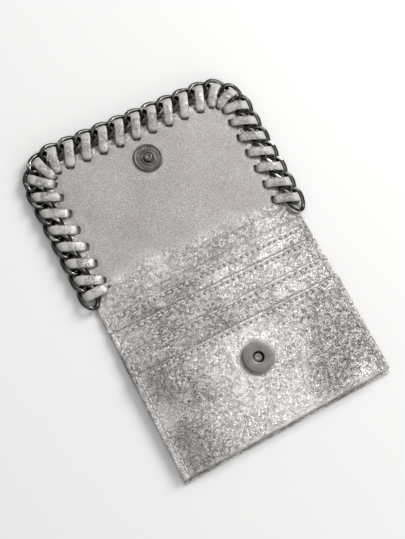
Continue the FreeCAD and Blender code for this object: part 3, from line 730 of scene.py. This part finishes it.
# Where the front's foil is whole and bright (above 0) or worn (below 0): place, radius and amount.
# The two on the bottom ridge are painted highlight, not whole foil.
FRONT_PATCHES = (
    (6.0, -39.0, 9.0, 0.55),
    (-9.0, -38.0, 9.0, 0.6),
    (-14.0, -50.0, 12.0, 0.65),
    (-8.0, -60.0, 12.0, 0.50),
    (7.0, -73.0, 10.0, 0.6),
    # painted highlight along the rounded bottom ridge
    (22.0, -80.0, 6.0, 0.6),
    (38.0, -79.5, 7.0, 0.75),
    (22.0, -46.0, 8.0, 0.25),
    (35.0, -57.0, 12.0, -1.0),
    (-47.0, -54.0, 6.0, 0.6),
    (-20.0, -70.0, 12.0, 0.3),
    (28.0, -68.0, 8.0, -0.7),
    (45.0, -57.0, 8.0, -0.6),
    (40.0, -40.0, 10.0, -0.4),
    (-38.0, -39.0, 8.0, -0.7),
    (-43.0, -67.0, 8.0, -0.9),
    (-28.0, -50.0, 7.0, -0.25),
)


def set_gleam(piece, patches):
    points = rest_mm(piece)
    gleam = np.zeros(len(points))
    for x, y, radius, amount in patches:
        gleam += amount * ridge(np.hypot(points[:, 0] - x, points[:, 1] - y), radius)
    set_values(piece, "gleam", gleam)


def make_front_panel():
    """The front is folded round at the bottom and turned back under, where it is sewn to the back."""
    half = high_mm("front_panel")[0]
    columns = sewn_columns(half)
    thick = FRONT_THICK + (FRONT_SIDE_THICK - FRONT_THICK) * pinch(columns)
    flat_rows = sewn_rows(POCKET_BOTTOM + LIP + 2.6, EDGE_D, ROW_D)[4:]
    upper, lower = [], []

    def add_row(y, upper_z, lower_z):
        for grid, z in ((upper, upper_z), (lower, lower_z)):
            grid.append(np.stack([columns, np.broadcast_to(y, columns.shape), z], -1))

    for y in flat_rows[::-1]:
        top = front_top(columns, np.full_like(columns, y))
        ease = rim_drop(EDGE_D - y, 0.5 * thick)
        add_row(y, top - ease, top - thick + ease)
    top = front_top(columns, np.full_like(columns, flat_rows[0]))
    radius = (top - BACK_TOP - 0.05) / 2
    inner = np.maximum(radius - thick, 0.35)
    start = POCKET_BOTTOM + LIP + radius
    for angle in np.radians(np.linspace(90, 270, 22)):
        for grid, r in ((upper, radius), (lower, inner)):
            across = start + r * math.cos(angle)
            grid.append(np.stack([columns, across, top - radius + r * math.sin(angle)], -1))
    for reach in np.linspace(0.6, 5.5, 8):
        add_row(start + reach, top - radius - radius, top - radius - inner)
    upper, lower = np.array(upper), np.array(lower)
    ease = rim_drop(half - abs(columns), FRONT_RIM)
    through = lower - upper
    through = through / np.maximum(np.linalg.norm(through, axis=-1, keepdims=True), 1e-6)
    upper = upper + through * ease[None, :, None]
    lower = lower - through * ease[None, :, None]
    piece = skin("front_panel_leather", upper, lower)
    set_gleam(piece, FRONT_PATCHES)
    # painted shade in the needle holes, under the snap and in a ring round it
    set_painted_shade(piece, ROW_D, snap=centre_mm("pocket_snap_case"))
    place_piece(piece, "root", "foil_leather", FOIL, "front_panel")


# ---- back, spine and flap
def stage_heights(y, pocket, spine, flap):
    """A height that goes from the pocket's to the spine's to the flap's."""
    first = smooth((y - LOWER_CREASE + 3.0) / (SPINE_MIDDLE - LOWER_CREASE + 3.0))
    second = smooth((y - SPINE_MIDDLE) / (UPPER_CREASE - SPINE_MIDDLE + 4.0))
    return pocket + (spine - pocket) * first + (flap - spine) * second


# Heights of the outer leather and its lining, at the pocket, the spine and the flap.
OUTER_LOW = (0.0, 0.5, 0.9)
OUTER_TOP = (BACK_TOP, 1.45, 1.85)
LINING_LOW = (BACK_TOP + 0.02, 1.47, 1.87)
LINING_TOP = (1.8, 2.15, 2.6)


def outer_low(x, y):
    return stage_heights(y, *OUTER_LOW)


def outer_top(x, y):
    return stage_heights(y, *OUTER_TOP)


def lining_low(x, y):
    return stage_heights(y, *LINING_LOW)


def crease_lines(y):
    return 0.30 * ridge(y - LOWER_CREASE, 0.8) + 0.22 * ridge(y - UPPER_CREASE, 0.9)


def lining_top(x, y):
    soft = 0.10 * swell(x, y, 31, 38.0) * smooth((y - SPINE_MIDDLE) / 8.0)
    return stage_heights(y, *LINING_TOP) - crease_lines(y) + soft


def neck_half(y):
    """Half width of the leather from the pocket's shoulders to the straight sides of the flap: it
    keeps just inside the end links of the chain."""
    return POCKET_HALF + (FLAP_HALF - POCKET_HALF) * smooth((y - LOWER_CREASE) / SHOULDER)


def flap_half(y):
    past = np.clip(y - (FLAP_TIP - FLAP_RADIUS), 0, FLAP_RADIUS)
    return neck_half(y) - FLAP_RADIUS + np.sqrt(FLAP_RADIUS ** 2 - past ** 2)


def flap_border(x, y):
    """Distance from the flap's outline, which has rounded corners at the tip and a seam at the spine."""
    side = neck_half(y) - abs(x)
    tip = FLAP_TIP - y
    corner_x = np.maximum(abs(x) - (FLAP_HALF - FLAP_RADIUS), 0)
    corner_y = np.maximum(y - (FLAP_TIP - FLAP_RADIUS), 0)
    corner = FLAP_RADIUS - np.hypot(corner_x, corner_y)
    return np.where((corner_x > 0) & (corner_y > 0), corner, np.minimum(side, tip))


def pocket_border(x, y):
    """Distance from the outline of the pocket's back, open where it runs on into the flap."""
    return np.minimum(neck_half(y) - abs(x), y - POCKET_BOTTOM)


def back_rows(low):
    plain = list(np.arange(low + 0.8, LOWER_CREASE - CREASE_REACH - 1.0, STEP))
    fold = list(np.linspace(LOWER_CREASE - CREASE_REACH - 0.6, SPINE_MIDDLE, 26))
    return np.array([low + e for e in rim_ease(0.6)] + plain + fold)


def flap_rows():
    fold = list(np.linspace(SPINE_MIDDLE, UPPER_CREASE + CREASE_REACH, 24))
    plain = list(np.arange(UPPER_CREASE + CREASE_REACH + 0.5, FLAP_TIP - 1.2, FLAP_STEP))
    return np.array(fold + plain + [FLAP_TIP - e for e in reversed(rim_ease(0.8))])


def make_back():
    piece = layer("pocket_back_leather", rim_lines(-POCKET_HALF, POCKET_HALF, STEP),
                  back_rows(POCKET_BOTTOM), outer_low, outer_top, neck_half, pocket_border)
    place_piece(piece, ("root", "spine", LOWER_CREASE), "foil_leather", FOIL, "back_panel", "spine_panel")


def make_pocket_lining():
    half = high_mm("back_lining")[0]
    low = low_mm("back_lining")[1]
    margin = POCKET_HALF - half

    def half_width(y):
        return neck_half(y) - margin * (1 - smooth((y - LOWER_CREASE) / 1.8))

    def border(x, y):
        return np.minimum(neck_half(y) - margin - abs(x), y - low)

    piece = layer("pocket_lining_leather", rim_lines(-half, half, STEP), back_rows(low),
                  lining_low, lining_top, half_width, border)
    set_values(piece, "wear", np.full(len(piece.data.vertices), 0.8))
    place_piece(piece, ("root", "spine", LOWER_CREASE), "lining_leather", FLAP_INSIDE,
                "back_lining", "spine_lining")


# ---- the chain's run along the edge
RUN_RADIUS = 15.5  # corners of the chain's centreline
RUN_HALF = abs(LINK_CENTRES[0][0])
RUN_START = LINK_CENTRES[0][1]
RUN_TIP = max(centre[1] for centre in LINK_CENTRES)
RUN_Z = LINK_CENTRES[0][2]
RUN_SIDE = RUN_TIP - RUN_RADIUS - RUN_START
RUN_CORNER = RUN_RADIUS * math.pi / 2
RUN_ACROSS = 2 * (RUN_HALF - RUN_RADIUS)
LINKS = len(LINK_NODES)
PITCH = (2 * RUN_SIDE + 2 * RUN_CORNER + RUN_ACROSS) / (LINKS - 1)


def run_frame(s):
    """Place, direction and outward direction on the run, s millimetres on from the first link: up
    the left side, across the tip and down the right side."""
    corner = RUN_HALF - RUN_RADIUS
    turn_y = RUN_TIP - RUN_RADIUS
    second = RUN_SIDE + RUN_CORNER + RUN_ACROSS
    if s < RUN_SIDE:
        place, heading = (-RUN_HALF, RUN_START + s), math.pi / 2
    elif s < RUN_SIDE + RUN_CORNER:
        heading = math.pi / 2 - (s - RUN_SIDE) / RUN_RADIUS
        place = (-corner - RUN_RADIUS * math.sin(heading), turn_y + RUN_RADIUS * math.cos(heading))
    elif s < second:
        place, heading = (-corner + s - RUN_SIDE - RUN_CORNER, RUN_TIP), 0.0
    elif s < second + RUN_CORNER:
        heading = -(s - second) / RUN_RADIUS
        place = (corner - RUN_RADIUS * math.sin(heading), turn_y + RUN_RADIUS * math.cos(heading))
    else:
        place, heading = (RUN_HALF, turn_y - (s - second - RUN_CORNER)), -math.pi / 2
    along = np.array([math.cos(heading), math.sin(heading), 0.0])
    outward = np.array([-math.sin(heading), math.cos(heading), 0.0])
    return np.array([*place, 0.0]), along, outward


SLIT_IN = 9.0  # the slits lie this far in from the chain's centreline
SLIT_Y = UPPER_CREASE + 2.1  # the first slit keeps clear of the crease
SLIT_LONG = 3.7
SLIT_WIDE = 2.3
SLIT_SHIFT = 0.60  # the puffed lace pulls its slit open on the inner side
SLIT_APART = 0.9  # leather left between two slits at the corners
SLIT_CORNERS = 16  # corners of a slit's rounded outline
SHALLOW_DIP = 0.4  # share of the slit's dip that reaches the layer below
DIVE_OUT = 1.9  # the lace dives this far outside the centreline


def slit_s(turn):
    """Where turn's slit is on the run: half a link before its dive."""
    return max((turn - 0.5) * PITCH, SLIT_Y - RUN_START)


def run_place(s, across):
    place, _, outward = run_frame(s)
    return place + across * outward


def slit_place(turn):
    return run_place(slit_s(turn), -SLIT_IN)


def dive_place(turn):
    return run_place(turn * PITCH, DIVE_OUT)


SLIT_PLACES = np.array([slit_place(turn) for turn in range(LINKS)])


def slit_dip(x, y):
    """The leather is drawn down round each slit, and puckers a little between them."""
    nearest = np.full(np.shape(x), 1e9)
    for place in SLIT_PLACES:
        nearest = np.minimum(nearest, np.hypot(x - place[0], y - place[1]))
    return 0.30 * ridge(nearest, 2.2) - 0.10 * ridge(nearest - 4.2, 1.5)


def slit_cutters():
    """One mesh of rounded blocks, one through each slit, square to the turn that comes up there."""
    corners, faces = [], []
    for turn in range(LINKS):
        middle = slit_place(turn)
        beside = min(np.linalg.norm(slit_place(other) - middle) for other in (turn - 1, turn + 1))
        long = min(SLIT_LONG, beside - SLIT_APART)
        lead = unit(dive_place(turn) - middle)
        middle = middle - SLIT_SHIFT * lead
        side = np.array([-lead[1], lead[0], 0.0])
        outline = []
        for angle in circle(SLIT_CORNERS):
            across, along = math.cos(angle), math.sin(angle)
            reach = (abs(across) ** 4 + abs(along) ** 4) ** -0.25
            outline.append(middle + (side * across * long + lead * along * SLIT_WIDE) * reach / 2)
        first = len(corners)
        for height in (-1.0, 5.0):
            corners.extend(point + np.array([0, 0, height]) for point in outline)
        faces.extend(tube_faces(2, SLIT_CORNERS, False, first))
    cutters = new_piece("slit_cutters", corners, faces)
    fix_normals(cutters)
    return cutters


def cut_slits(piece):
    cutters = slit_cutters()
    cut = piece.modifiers.new("slits", "BOOLEAN")
    cut.operation = "DIFFERENCE"
    cut.solver = "EXACT"
    cut.object = cutters
    depsgraph = bpy.context.evaluated_depsgraph_get()
    mesh = bpy.data.meshes.new_from_object(piece.evaluated_get(depsgraph))
    piece.modifiers.clear()
    piece.data = mesh
    points = rest_mm(piece)
    mesh.attributes["rest"].data.foreach_set("vector", points.astype(np.float32).ravel())
    bpy.data.objects.remove(cutters)


def flap_layer(name, low, top):
    """A layer of the flap with the lace's slits cut through it."""
    columns = rim_lines(-FLAP_HALF, FLAP_HALF, FLAP_ACROSS)
    piece = layer(name, columns, flap_rows(), low, top, flap_half, flap_border)
    fix_normals(piece)
    cut_slits(piece)
    return piece


def make_flap_leather():
    def top(x, y):
        return outer_top(x, y) - SHALLOW_DIP * slit_dip(x, y)

    piece = flap_layer("flap_leather", outer_low, top)
    place_piece(piece, ("spine", "flap", UPPER_CREASE), "foil_leather", FOIL, "flap_outer")


def make_flap_lining():
    def low(x, y):
        return lining_low(x, y) - SHALLOW_DIP * slit_dip(x, y)

    def top(x, y):
        return lining_top(x, y) - slit_dip(x, y) + 0.12 * smooth((flap_border(x, y) - 1) / 3)

    piece = flap_layer("flap_lining_leather", low, top)
    x, y, _ = rest_mm(piece).T
    rim = 1 - smooth((flap_border(x, y) - 2.2) / 2.5)
    fold = 1 - smooth((y - UPPER_CREASE - 2.0 - 2.0 * swell(x, y, 5, 25.0)) / 8.0)
    set_values(piece, "wear", np.maximum(rim, 0.8 * fold))
    place_piece(piece, ("spine", "flap", UPPER_CREASE), "lining_leather", FLAP_INSIDE, "flap_lining")


# ---- the chain and its lace
LINK_LONG = 5.6  # half the length of a link's centreline
LINK_BROAD = 3.6  # half its breadth
LINK_TWIST = 1.15  # how far the curb twist lifts its corners
WIRE = 0.95  # radius of the wire
GROUND = 1.85  # the links are ground flat this far above and below
AROUND_WIRE = 24
ALONG_WIRE = 84
STREAK_ANGLE = math.radians(120)  # the painted highlight streak round the wire, from its outer side
STREAK_WIDTH = 0.22
PAINTED_STREAK_AMOUNT = 0.8
PAINTED_GLINT_AMOUNT = 0.8  # the brightest painted glint on the ground faces
UP = np.array([0, 0, 1.0])


def make_link(number, node):
    """A curb link: a twisted ring of wire, ground flat on its two faces.  A painted highlight streak along
    the wire and painted glints on some ground faces lighten its colour.
    """
    place, along, outward = run_frame(number * PITCH)
    t = circle(ALONG_WIRE)
    line = np.outer(LINK_LONG * np.cos(t), along) + np.outer(LINK_BROAD * np.sin(t), outward)
    line = line - np.outer(LINK_TWIST * np.sin(2 * t), UP)
    tangent = np.outer(-LINK_LONG * np.sin(t), along) + np.outer(LINK_BROAD * np.cos(t), outward)
    tangent = tangent - np.outer(2 * LINK_TWIST * np.cos(2 * t), UP)
    tangent = unit(tangent)
    side = unit(np.cross(tangent, UP))
    over = np.cross(side, tangent)
    random = np.random.RandomState(number)
    # painted highlight: a glint on the ground faces of some links, and a streak along the wire
    painted_glint = 0.05 + PAINTED_GLINT_AMOUNT * random.rand() ** 4
    broken = 0.5 + 0.5 * np.sin(3 * t + random.uniform(0, 2 * math.pi))
    painted_streak = PAINTED_STREAK_AMOUNT * smooth(np.sin(t) / 0.5) * (0.35 + 0.65 * broken)
    points, wear_and_painted_highlight = [], []
    for angle in circle(AROUND_WIRE):
        points.append(line + WIRE * (math.cos(angle) * side + math.sin(angle) * over))
        wear_and_painted_highlight.append(ridge(abs(angle - STREAK_ANGLE), STREAK_WIDTH) * painted_streak)
    points, wear_and_painted_highlight = np.stack(points, 1), np.stack(wear_and_painted_highlight, 1)
    wear_and_painted_highlight = np.maximum(wear_and_painted_highlight, painted_glint * (abs(points[..., 2]) > GROUND))
    points[..., 2] = np.clip(points[..., 2], -GROUND, GROUND)
    points = points.reshape(-1, 3) + (place + np.array([0, 0, RUN_Z]))
    piece = new_piece("curb_" + node, points, tube_faces(ALONG_WIRE, AROUND_WIRE, True), crisp_angle=28)
    set_values(piece, "wear_and_painted_highlight", wear_and_painted_highlight)
    place_piece(piece, "flap", "chain_metal", CHAIN, node)


# One turn of the lace: share of the way from its slit to its dive, place across the run (out is
# positive), height, width and thickness.  It rises through its slit, puffs up over the leather and
# the chain, dives through the link and runs back under the leather to the next slit.
LACE_TURN = (
    (0.00, -9.00, 0.90, 2.9, 0.80),
    (0.00, -9.05, 2.00, 3.2, 0.85),
    (0.03, -8.85, 3.05, 3.7, 0.90),
    (0.12, -7.80, 4.00, 4.3, 0.95),
    (0.38, -4.80, 4.78, 4.4, 0.90),
    (0.64, -2.00, 5.00, 4.4, 0.85),
    (0.84, 0.00, 4.88, 4.2, 0.80),
    (0.96, 1.20, 4.30, 3.9, 0.75),
    (1.00, 1.85, 3.30, 3.6, 0.75),
    (1.00, 1.85, 1.90, 3.4, 0.75),
)
LACE_UNDER = (  # from the dive to the next slit
    (0.06, 1.20, 0.62, 3.4, 0.70),
    (0.35, -2.20, 0.42, 3.6, 0.70),
    (0.75, -6.40, 0.42, 3.4, 0.70),
    (0.94, -8.55, 0.52, 3.0, 0.75),
)
LACE_LOWEST = 0.02
LACE_SPANS = 5  # rows of the mesh from each row above to the next
LACE_SECTION = 16  # points round the strap
LACE_SQUARE = 3.2  # how square its section is: 2 is an ellipse
LACE_CROWN = 0.16  # how much its upper face is puffed
LACE_ROOM = 0.90  # it fills no more than this share of its pitch
TONE_START = -1.6  # the lace's pale outer end begins here across the run
GLEAM_START = -8.0  # and its painted highlight, its brightest foil, ends here


def lace_nodes():
    """Rows of place along the run and across it, height, width, thickness and the width's tilt."""
    rows = []
    for turn in range(LINKS):
        start, dive, after = slit_s(turn), turn * PITCH, slit_s(turn + 1)
        lean = math.atan2(dive - start, SLIT_IN + DIVE_OUT)
        back = math.atan2(after - dive, SLIT_IN + DIVE_OUT)
        for share, *place in LACE_TURN:
            tilt = lean * (1 - smooth((share - 0.75) / 0.25))
            rows.append((start + share * (dive - start), *place, -tilt))
        for share, *place in LACE_UNDER[:2] if turn == LINKS - 1 else LACE_UNDER:
            tilt = back * smooth(share / 0.3) - (back + lean) * smooth((share - 0.7) / 0.25)
            rows.append((dive + share * (after - dive), *place, tilt))
    return np.array(rows, float)


def make_lace():
    """One flat strap, whipped round the edge through every slit and link."""
    rows = catmull(lace_nodes(), LACE_SPANS)
    line, widths = [], []
    for row in rows:
        s, across, height, _, _, tilt = row
        room = np.linalg.norm(run_place(s + PITCH / 2, across) - run_place(s - PITCH / 2, across))
        row[3] = min(row[3], LACE_ROOM * room)
        _, along, outward = run_frame(s)
        line.append(run_place(s, across) + height * UP)
        widths.append(math.cos(tilt) * along + math.sin(tilt) * outward)
    line, widths = np.array(line), np.array(widths)
    ahead = unit(np.gradient(line, axis=0))
    widths = unit(widths - np.sum(widths * ahead, axis=1, keepdims=True) * ahead)
    faces_up = np.cross(widths, ahead)
    upper = smooth((rows[:, 2] - 1.0) / 1.5)
    points = []
    for angle in circle(LACE_SECTION, 0.5):
        reach = abs(math.cos(angle)) ** LACE_SQUARE + abs(math.sin(angle)) ** LACE_SQUARE
        reach = reach ** (-1 / LACE_SQUARE)
        sideways = math.cos(angle) * reach * rows[:, 3] / 2
        upward = math.sin(angle) * reach * rows[:, 4] / 2
        puff = (1 - (2 * sideways / rows[:, 3]) ** 2) * (0.5 + 0.5 * math.sin(angle))
        upward = upward + LACE_CROWN * upper * puff
        points.append(line + widths * sideways[:, None] + faces_up * upward[:, None])
    points = np.stack(points, 1)
    points[..., 2] = np.maximum(points[..., 2], LACE_LOWEST)
    faces = tube_faces(len(rows), LACE_SECTION, False)
    piece = new_piece("edge_lace_strap", points.reshape(-1, 3), faces, crisp_angle=40)
    ragged = 0.35 * np.sin(rows[:, 0] * 2.1)
    tone = smooth((rows[:, 1] - TONE_START + ragged) / 0.7) * upper
    set_values(piece, "tone", np.repeat(tone, LACE_SECTION))
    # painted highlight: the lace's foil is painted brighter by its slits, for the sparkle of the crumpled
    # foil there
    gleam = 0.5 * upper * (1 - smooth((rows[:, 1] - GLEAM_START) / 3.0))
    set_values(piece, "gleam", np.repeat(gleam, LACE_SECTION))
    place_piece(piece, "flap", "lace_leather", LACE, "edge_lace")


# ---- stitching
THREAD_WIDE = 0.72
THREAD_HIGH = 0.54
STITCH_GAP = 0.06  # share of its length that a stitch keeps from its holes
STITCH_LIFT = 0.20  # a stitch's middle lies this far above the leather
SIDE_STITCH_LIFT = 0.14
STITCH_RINGS = 11
STITCH_AROUND = 10


def stitch_mesh(first, last, height):
    """Points of one stitch from hole to hole: a twisted thread that arches over the leather."""
    along = unit(last - first)
    side = np.array([-along[1], along[0], 0.0])
    points = []
    for t in np.linspace(0, 1, STITCH_RINGS):
        x, y = first + t * (last - first)
        arch = 0.16 - 0.42 * abs(2 * t - 1) ** 5
        size = 1.0 - 0.45 * abs(2 * t - 1) ** 6
        for angle in circle(STITCH_AROUND):
            twist = 1 + 0.10 * math.cos(2 * angle - 3.0 * math.pi * t)
            across = 0.5 * THREAD_WIDE * size * twist * math.cos(angle)
            up = 0.5 * THREAD_HIGH * size * twist * math.sin(angle)
            points.append(np.array([x, y, height(x, y) + arch + up]) + side * across)
    return points


def make_stitches(node, holes, height):
    """A row of stitches, one between each hole and the next."""
    points, faces = [], []
    for first, last in zip(holes, holes[1:]):
        faces.extend(tube_faces(STITCH_RINGS, STITCH_AROUND, False, len(points)))
        gap = STITCH_GAP * (last - first)
        points.extend(stitch_mesh(first + gap, last - gap, height))
    piece = new_piece(node + "_thread", points, faces)
    place_piece(piece, "root", "thread", THREAD, node)


def make_edge_row(letter, row, top):
    reach = EDGE_STITCHES * STITCH_PITCH / 2
    holes = [np.array([x, row]) for x in np.linspace(-reach, reach, EDGE_STITCHES + 1)]
    make_stitches("edge_stitches_" + letter, holes, lambda x, y: float(top(x, y)) + STITCH_LIFT)


def make_side_row(side, sign):
    spots = np.linspace(SIDE_LOW, SIDE_HIGH, SIDE_STITCHES + 1)
    wobble = 0.12 * np.sin(spots * 1.3)
    holes = [np.array([sign * (SEAM_X + shift), y]) for y, shift in zip(spots, wobble)]

    def height(x, y):
        near = [float(topmost(x, y + step)) for step in (-0.8, 0.0, 0.8)]
        return sum(near) / len(near) + SIDE_STITCH_LIFT

    make_stitches("side_stitches_" + side, holes, height)


# ---- the magnetic snap
NEAR_AXIS = 0.02  # radius of the last ring, which is capped


def upright(node):
    """Bottom and top of a round node on the wallet's centre line, and its radius."""
    return low_mm(node)[2], high_mm(node)[2], high_mm(node)[0]


CUP_SEGMENTS = 144
CUP_HOLE = 2.5
CUP_WALL = 0.4
CUP_LIP = 0.25  # how thick the wall of its hole is
POST_SEGMENTS = 72
POST_RADIUS = 1.85
POST_DISH = 0.08  # depth of the dish in its top
STUB_SEGMENTS = 96


def make_case():
    """The pocket's half: a drawn cup over the ring magnet, with a rolled rim and a hole."""
    node = "pocket_snap_case"
    low, high, radius = upright(node)
    inner, under = radius - CUP_WALL, high - CUP_WALL
    lip, floor = CUP_HOLE + CUP_LIP, low + 0.4
    ring = rounded([(inner, low), (inner, under), (lip, under), (lip, floor), (CUP_HOLE, floor),
                    (CUP_HOLE, high), (radius, high), (radius, low), (inner, low)], 0.28)[:-1]
    piece = turned("pocket_snap_cup", ring, centre_mm(node), CUP_SEGMENTS, ring=True)
    # painted shade down the wall of the hole
    hole_wall = [r < CUP_HOLE + 0.3 and z < high - 0.04 for r, z in ring]
    set_values(piece, "painted_shade", np.repeat(hole_wall, CUP_SEGMENTS))
    place_piece(piece, "root", "snap_metal", CASE, node)


def make_core():
    """The steel post in the cup's hole, with a shallow dish in its top."""
    node = "pocket_snap_core"
    low, high, _ = upright(node)
    outline = rounded([(NEAR_AXIS, low), (POST_RADIUS, low), (POST_RADIUS, high), (0.7, high),
                       (0.5, high - POST_DISH), (NEAR_AXIS, high - POST_DISH)], 0.15)
    piece = turned("pocket_snap_post", outline, centre_mm(node), POST_SEGMENTS)
    # painted shade on the post's side, down in the cup's hole
    side = [z < high - 0.10 and r > 0.6 for r, z in outline]
    set_values(piece, "painted_shade", np.repeat(side, POST_SEGMENTS))
    place_piece(piece, "root", "plated_steel", CASE, node)


TICKS = 24
TICK_POINTS = 16  # points round the disc for each tick
TICK_INNER, TICK_OUTER, TICK_RISE = 4.0, 5.4, 0.22
TICK_SHINE = 0.24
DISC_HOLE = 2.2


def make_disc():
    """The flap's half: a pressed disc with a raised rim, a ring of plain ticks and an inner ring."""
    node = "flap_snap_disc"
    low, high, radius = upright(node)
    centre = centre_mm(node)
    rim, floor, hub = high - 0.05, high - 0.28, high - 0.25
    outline = rounded([(radius, low), (radius, high - 0.30), (radius - 0.35, rim), (radius - 0.75, rim),
                       (radius - 1.0, floor), (TICK_OUTER, floor)], 0.15, 3)
    outline += [(r, floor) for r in np.linspace(TICK_OUTER - 0.12, TICK_INNER + 0.12, 9)]
    outline += rounded([(TICK_INNER, floor), (3.55, floor), (3.35, high), (2.75, high), (2.5, hub),
                        (DISC_HOLE, hub)], 0.15, 3)
    outline += [(DISC_HOLE, low), (radius, low)]
    angles = circle(TICK_POINTS * TICKS)
    beat = smooth((np.cos(TICKS * angles) - 0.15) / 0.35)
    points, wear_and_painted_highlight = [], []
    for r, z in outline:
        tick = beat * smooth((r - TICK_INNER) / 0.12) * smooth((TICK_OUTER - r) / 0.12)
        points.append(level_ring(centre, r, angles, z + TICK_RISE * tick))
        wear_and_painted_highlight.append(TICK_SHINE * tick)
    faces = tube_faces(len(outline), len(angles), True)
    piece = new_piece("flap_snap_plate", np.vstack(points), faces, crisp_angle=35)
    set_values(piece, "wear_and_painted_highlight", wear_and_painted_highlight)
    place_piece(piece, "flap", "snap_metal", DISC, node)


def make_stub():
    """The stub that drops into the pocket's half, with a dished tip."""
    node = "flap_snap_stub"
    low, high, radius = upright(node)
    outline = rounded([(NEAR_AXIS, low), (radius, low), (radius, high - 0.5), (radius - 0.45, high),
                       (0.95, high), (0.75, high - 0.35), (NEAR_AXIS, high - 0.4)], 0.3)
    piece = turned("flap_snap_post", outline, centre_mm(node), STUB_SEGMENTS)
    place_piece(piece, "flap", "plated_steel", DISC, node)


def finish_hidden_metal():
    """The prongs, washers and magnet keep their CAD shape and get their metal."""
    for name, node in frame["nodes"].items():
        if name.endswith(("prongs", "washer", "magnet")):
            node.data.materials.clear()
            node.data.materials.append(HIDDEN_MAGNET if name.endswith("magnet") else HIDDEN_STEEL)


# ---- floor, light and camera
FLOOR_COLOUR = (0.80, 0.80, 0.80)
FLOOR_HALF = 3.0
FLOOR_DROP = 0.0002  # keeps the table clear of the leather that lies on it
LAMPS = (  # name, place, size, power and colour; all aim at the middle
    ("key_light", (0.68, 0.24, 0.64), 0.60, 7.2, (1.0, 0.985, 0.965)),
    ("low_fill", (0.25, -0.85, 0.30), 0.60, 2.4, (0.98, 0.99, 1.0)),
    ("gloss_light", (-0.15, 0.60, 0.80), 0.12, 0.8, (1, 1, 1)),
)
ROOM = {"From Min": 0.0, "From Max": 0.75, "To Min": 0.35, "To Max": 0.57}


def make_floor():
    """A plain pale table top with a barely uneven finish."""
    shader = Shader("table")
    even = shader.node("ShaderNodeTexCoord", {}).outputs["Object"]
    cloud = shader.noise(9.0, vector=even)
    colour = shader.mix(cloud, FLOOR_COLOUR, tuple(0.985 * c for c in FLOOR_COLOUR))
    normal = shader.bump(shader.noise(900.0, vector=even), 0.02)
    material = shader.surface(colour, 0.0, 0.75, normal, **{"Specular IOR Level": 0.2})
    corners = [(x * FLOOR_HALF, y * FLOOR_HALF, 0) for x, y in ((-1, -1), (1, -1), (1, 1), (-1, 1))]
    mesh = bpy.data.meshes.new("table_top")
    mesh.from_pydata(corners, [], [(0, 1, 2, 3)])
    floor = add_object("table_top", mesh)
    floor.data.materials.append(material)
    floor.location.z = -FLOOR_DROP


def make_lamps():
    for name, place, size, power, colour in LAMPS:
        light = bpy.data.lights.new(name, "AREA")
        light.shape = "DISK"
        light.size = size
        light.energy = power
        light.color = colour
        lamp = add_object(name, light)
        lamp.location = place
        lamp.rotation_euler = (-Vector(place)).to_track_quat("-Z", "Y").to_euler()


def make_room():
    """A pale room that darkens low down."""
    world = bpy.data.worlds.new("studio")
    world.use_nodes = True
    tree = world.node_tree
    split = tree.nodes.new("ShaderNodeSeparateXYZ")
    tree.links.new(tree.nodes.new("ShaderNodeTexCoord").outputs["Generated"], split.inputs[0])
    rise = tree.nodes.new("ShaderNodeMapRange")
    rise.interpolation_type = "SMOOTHSTEP"
    for key, value in ROOM.items():
        rise.inputs[key].default_value = value
    tree.links.new(split.outputs["Z"], rise.inputs["Value"])
    background = tree.nodes["Background"]
    background.inputs["Color"].default_value = (1.0, 1.0, 1.0, 1.0)
    tree.links.new(rise.outputs["Result"], background.inputs["Strength"])
    bpy.context.scene.world = world


CAMERA_PLACE = Vector((-0.1126, -0.06515, 0.3944))
CAMERA_TARGET = Vector((-0.0014, -0.0010, 0.0))
CAMERA_HEADING = math.radians(28.30)  # the picture's upright, from +Y towards +X
CAMERA_LENS = 60.75


def make_camera():
    data = bpy.data.cameras.new("camera")
    data.lens = CAMERA_LENS
    data.sensor_width = 36.0
    data.clip_start = 0.01
    camera = add_object("camera", data)
    ahead = (CAMERA_TARGET - CAMERA_PLACE).normalized()
    heading = Vector((math.sin(CAMERA_HEADING), math.cos(CAMERA_HEADING), 0))
    right = ahead.cross(heading).normalized()
    above = right.cross(ahead)
    turn = Matrix((right, above, -ahead)).transposed().to_4x4()
    camera.matrix_world = Matrix.Translation(CAMERA_PLACE) @ turn
    bpy.context.scene.camera = camera


# ---- the whole wallet
bpy.context.scene.view_settings.view_transform = "Standard"

make_camera()
make_floor()
make_lamps()
make_room()

make_back()
make_pocket_lining()
make_sewn("card_panel_leather", "card_panel", EDGE_A, ROW_A, (card_low, card_top), EDGE_B)
make_fabric("slot_lining_b")
make_sewn("slot_strip_leather_b", "slot_strip_b", EDGE_B, ROW_B, STRIP_B_HEIGHTS, EDGE_C)
make_fabric("slot_lining_c")
make_sewn("slot_strip_leather_c", "slot_strip_c", EDGE_C, ROW_C, STRIP_C_HEIGHTS, EDGE_D)
make_fabric("front_lining")
make_front_panel()
make_flap_leather()
make_flap_lining()
for number, node in enumerate(LINK_NODES):
    make_link(number, node)
make_lace()
make_edge_row("a", ROW_A, card_top)
make_edge_row("b", ROW_B, STRIP_B_HEIGHTS[1])
make_edge_row("c", ROW_C, STRIP_C_HEIGHTS[1])
make_edge_row("d", ROW_D, front_top)
make_side_row("left", -1)
make_side_row("right", 1)
make_case()
make_core()
make_disc()
make_stub()
finish_hidden_metal()
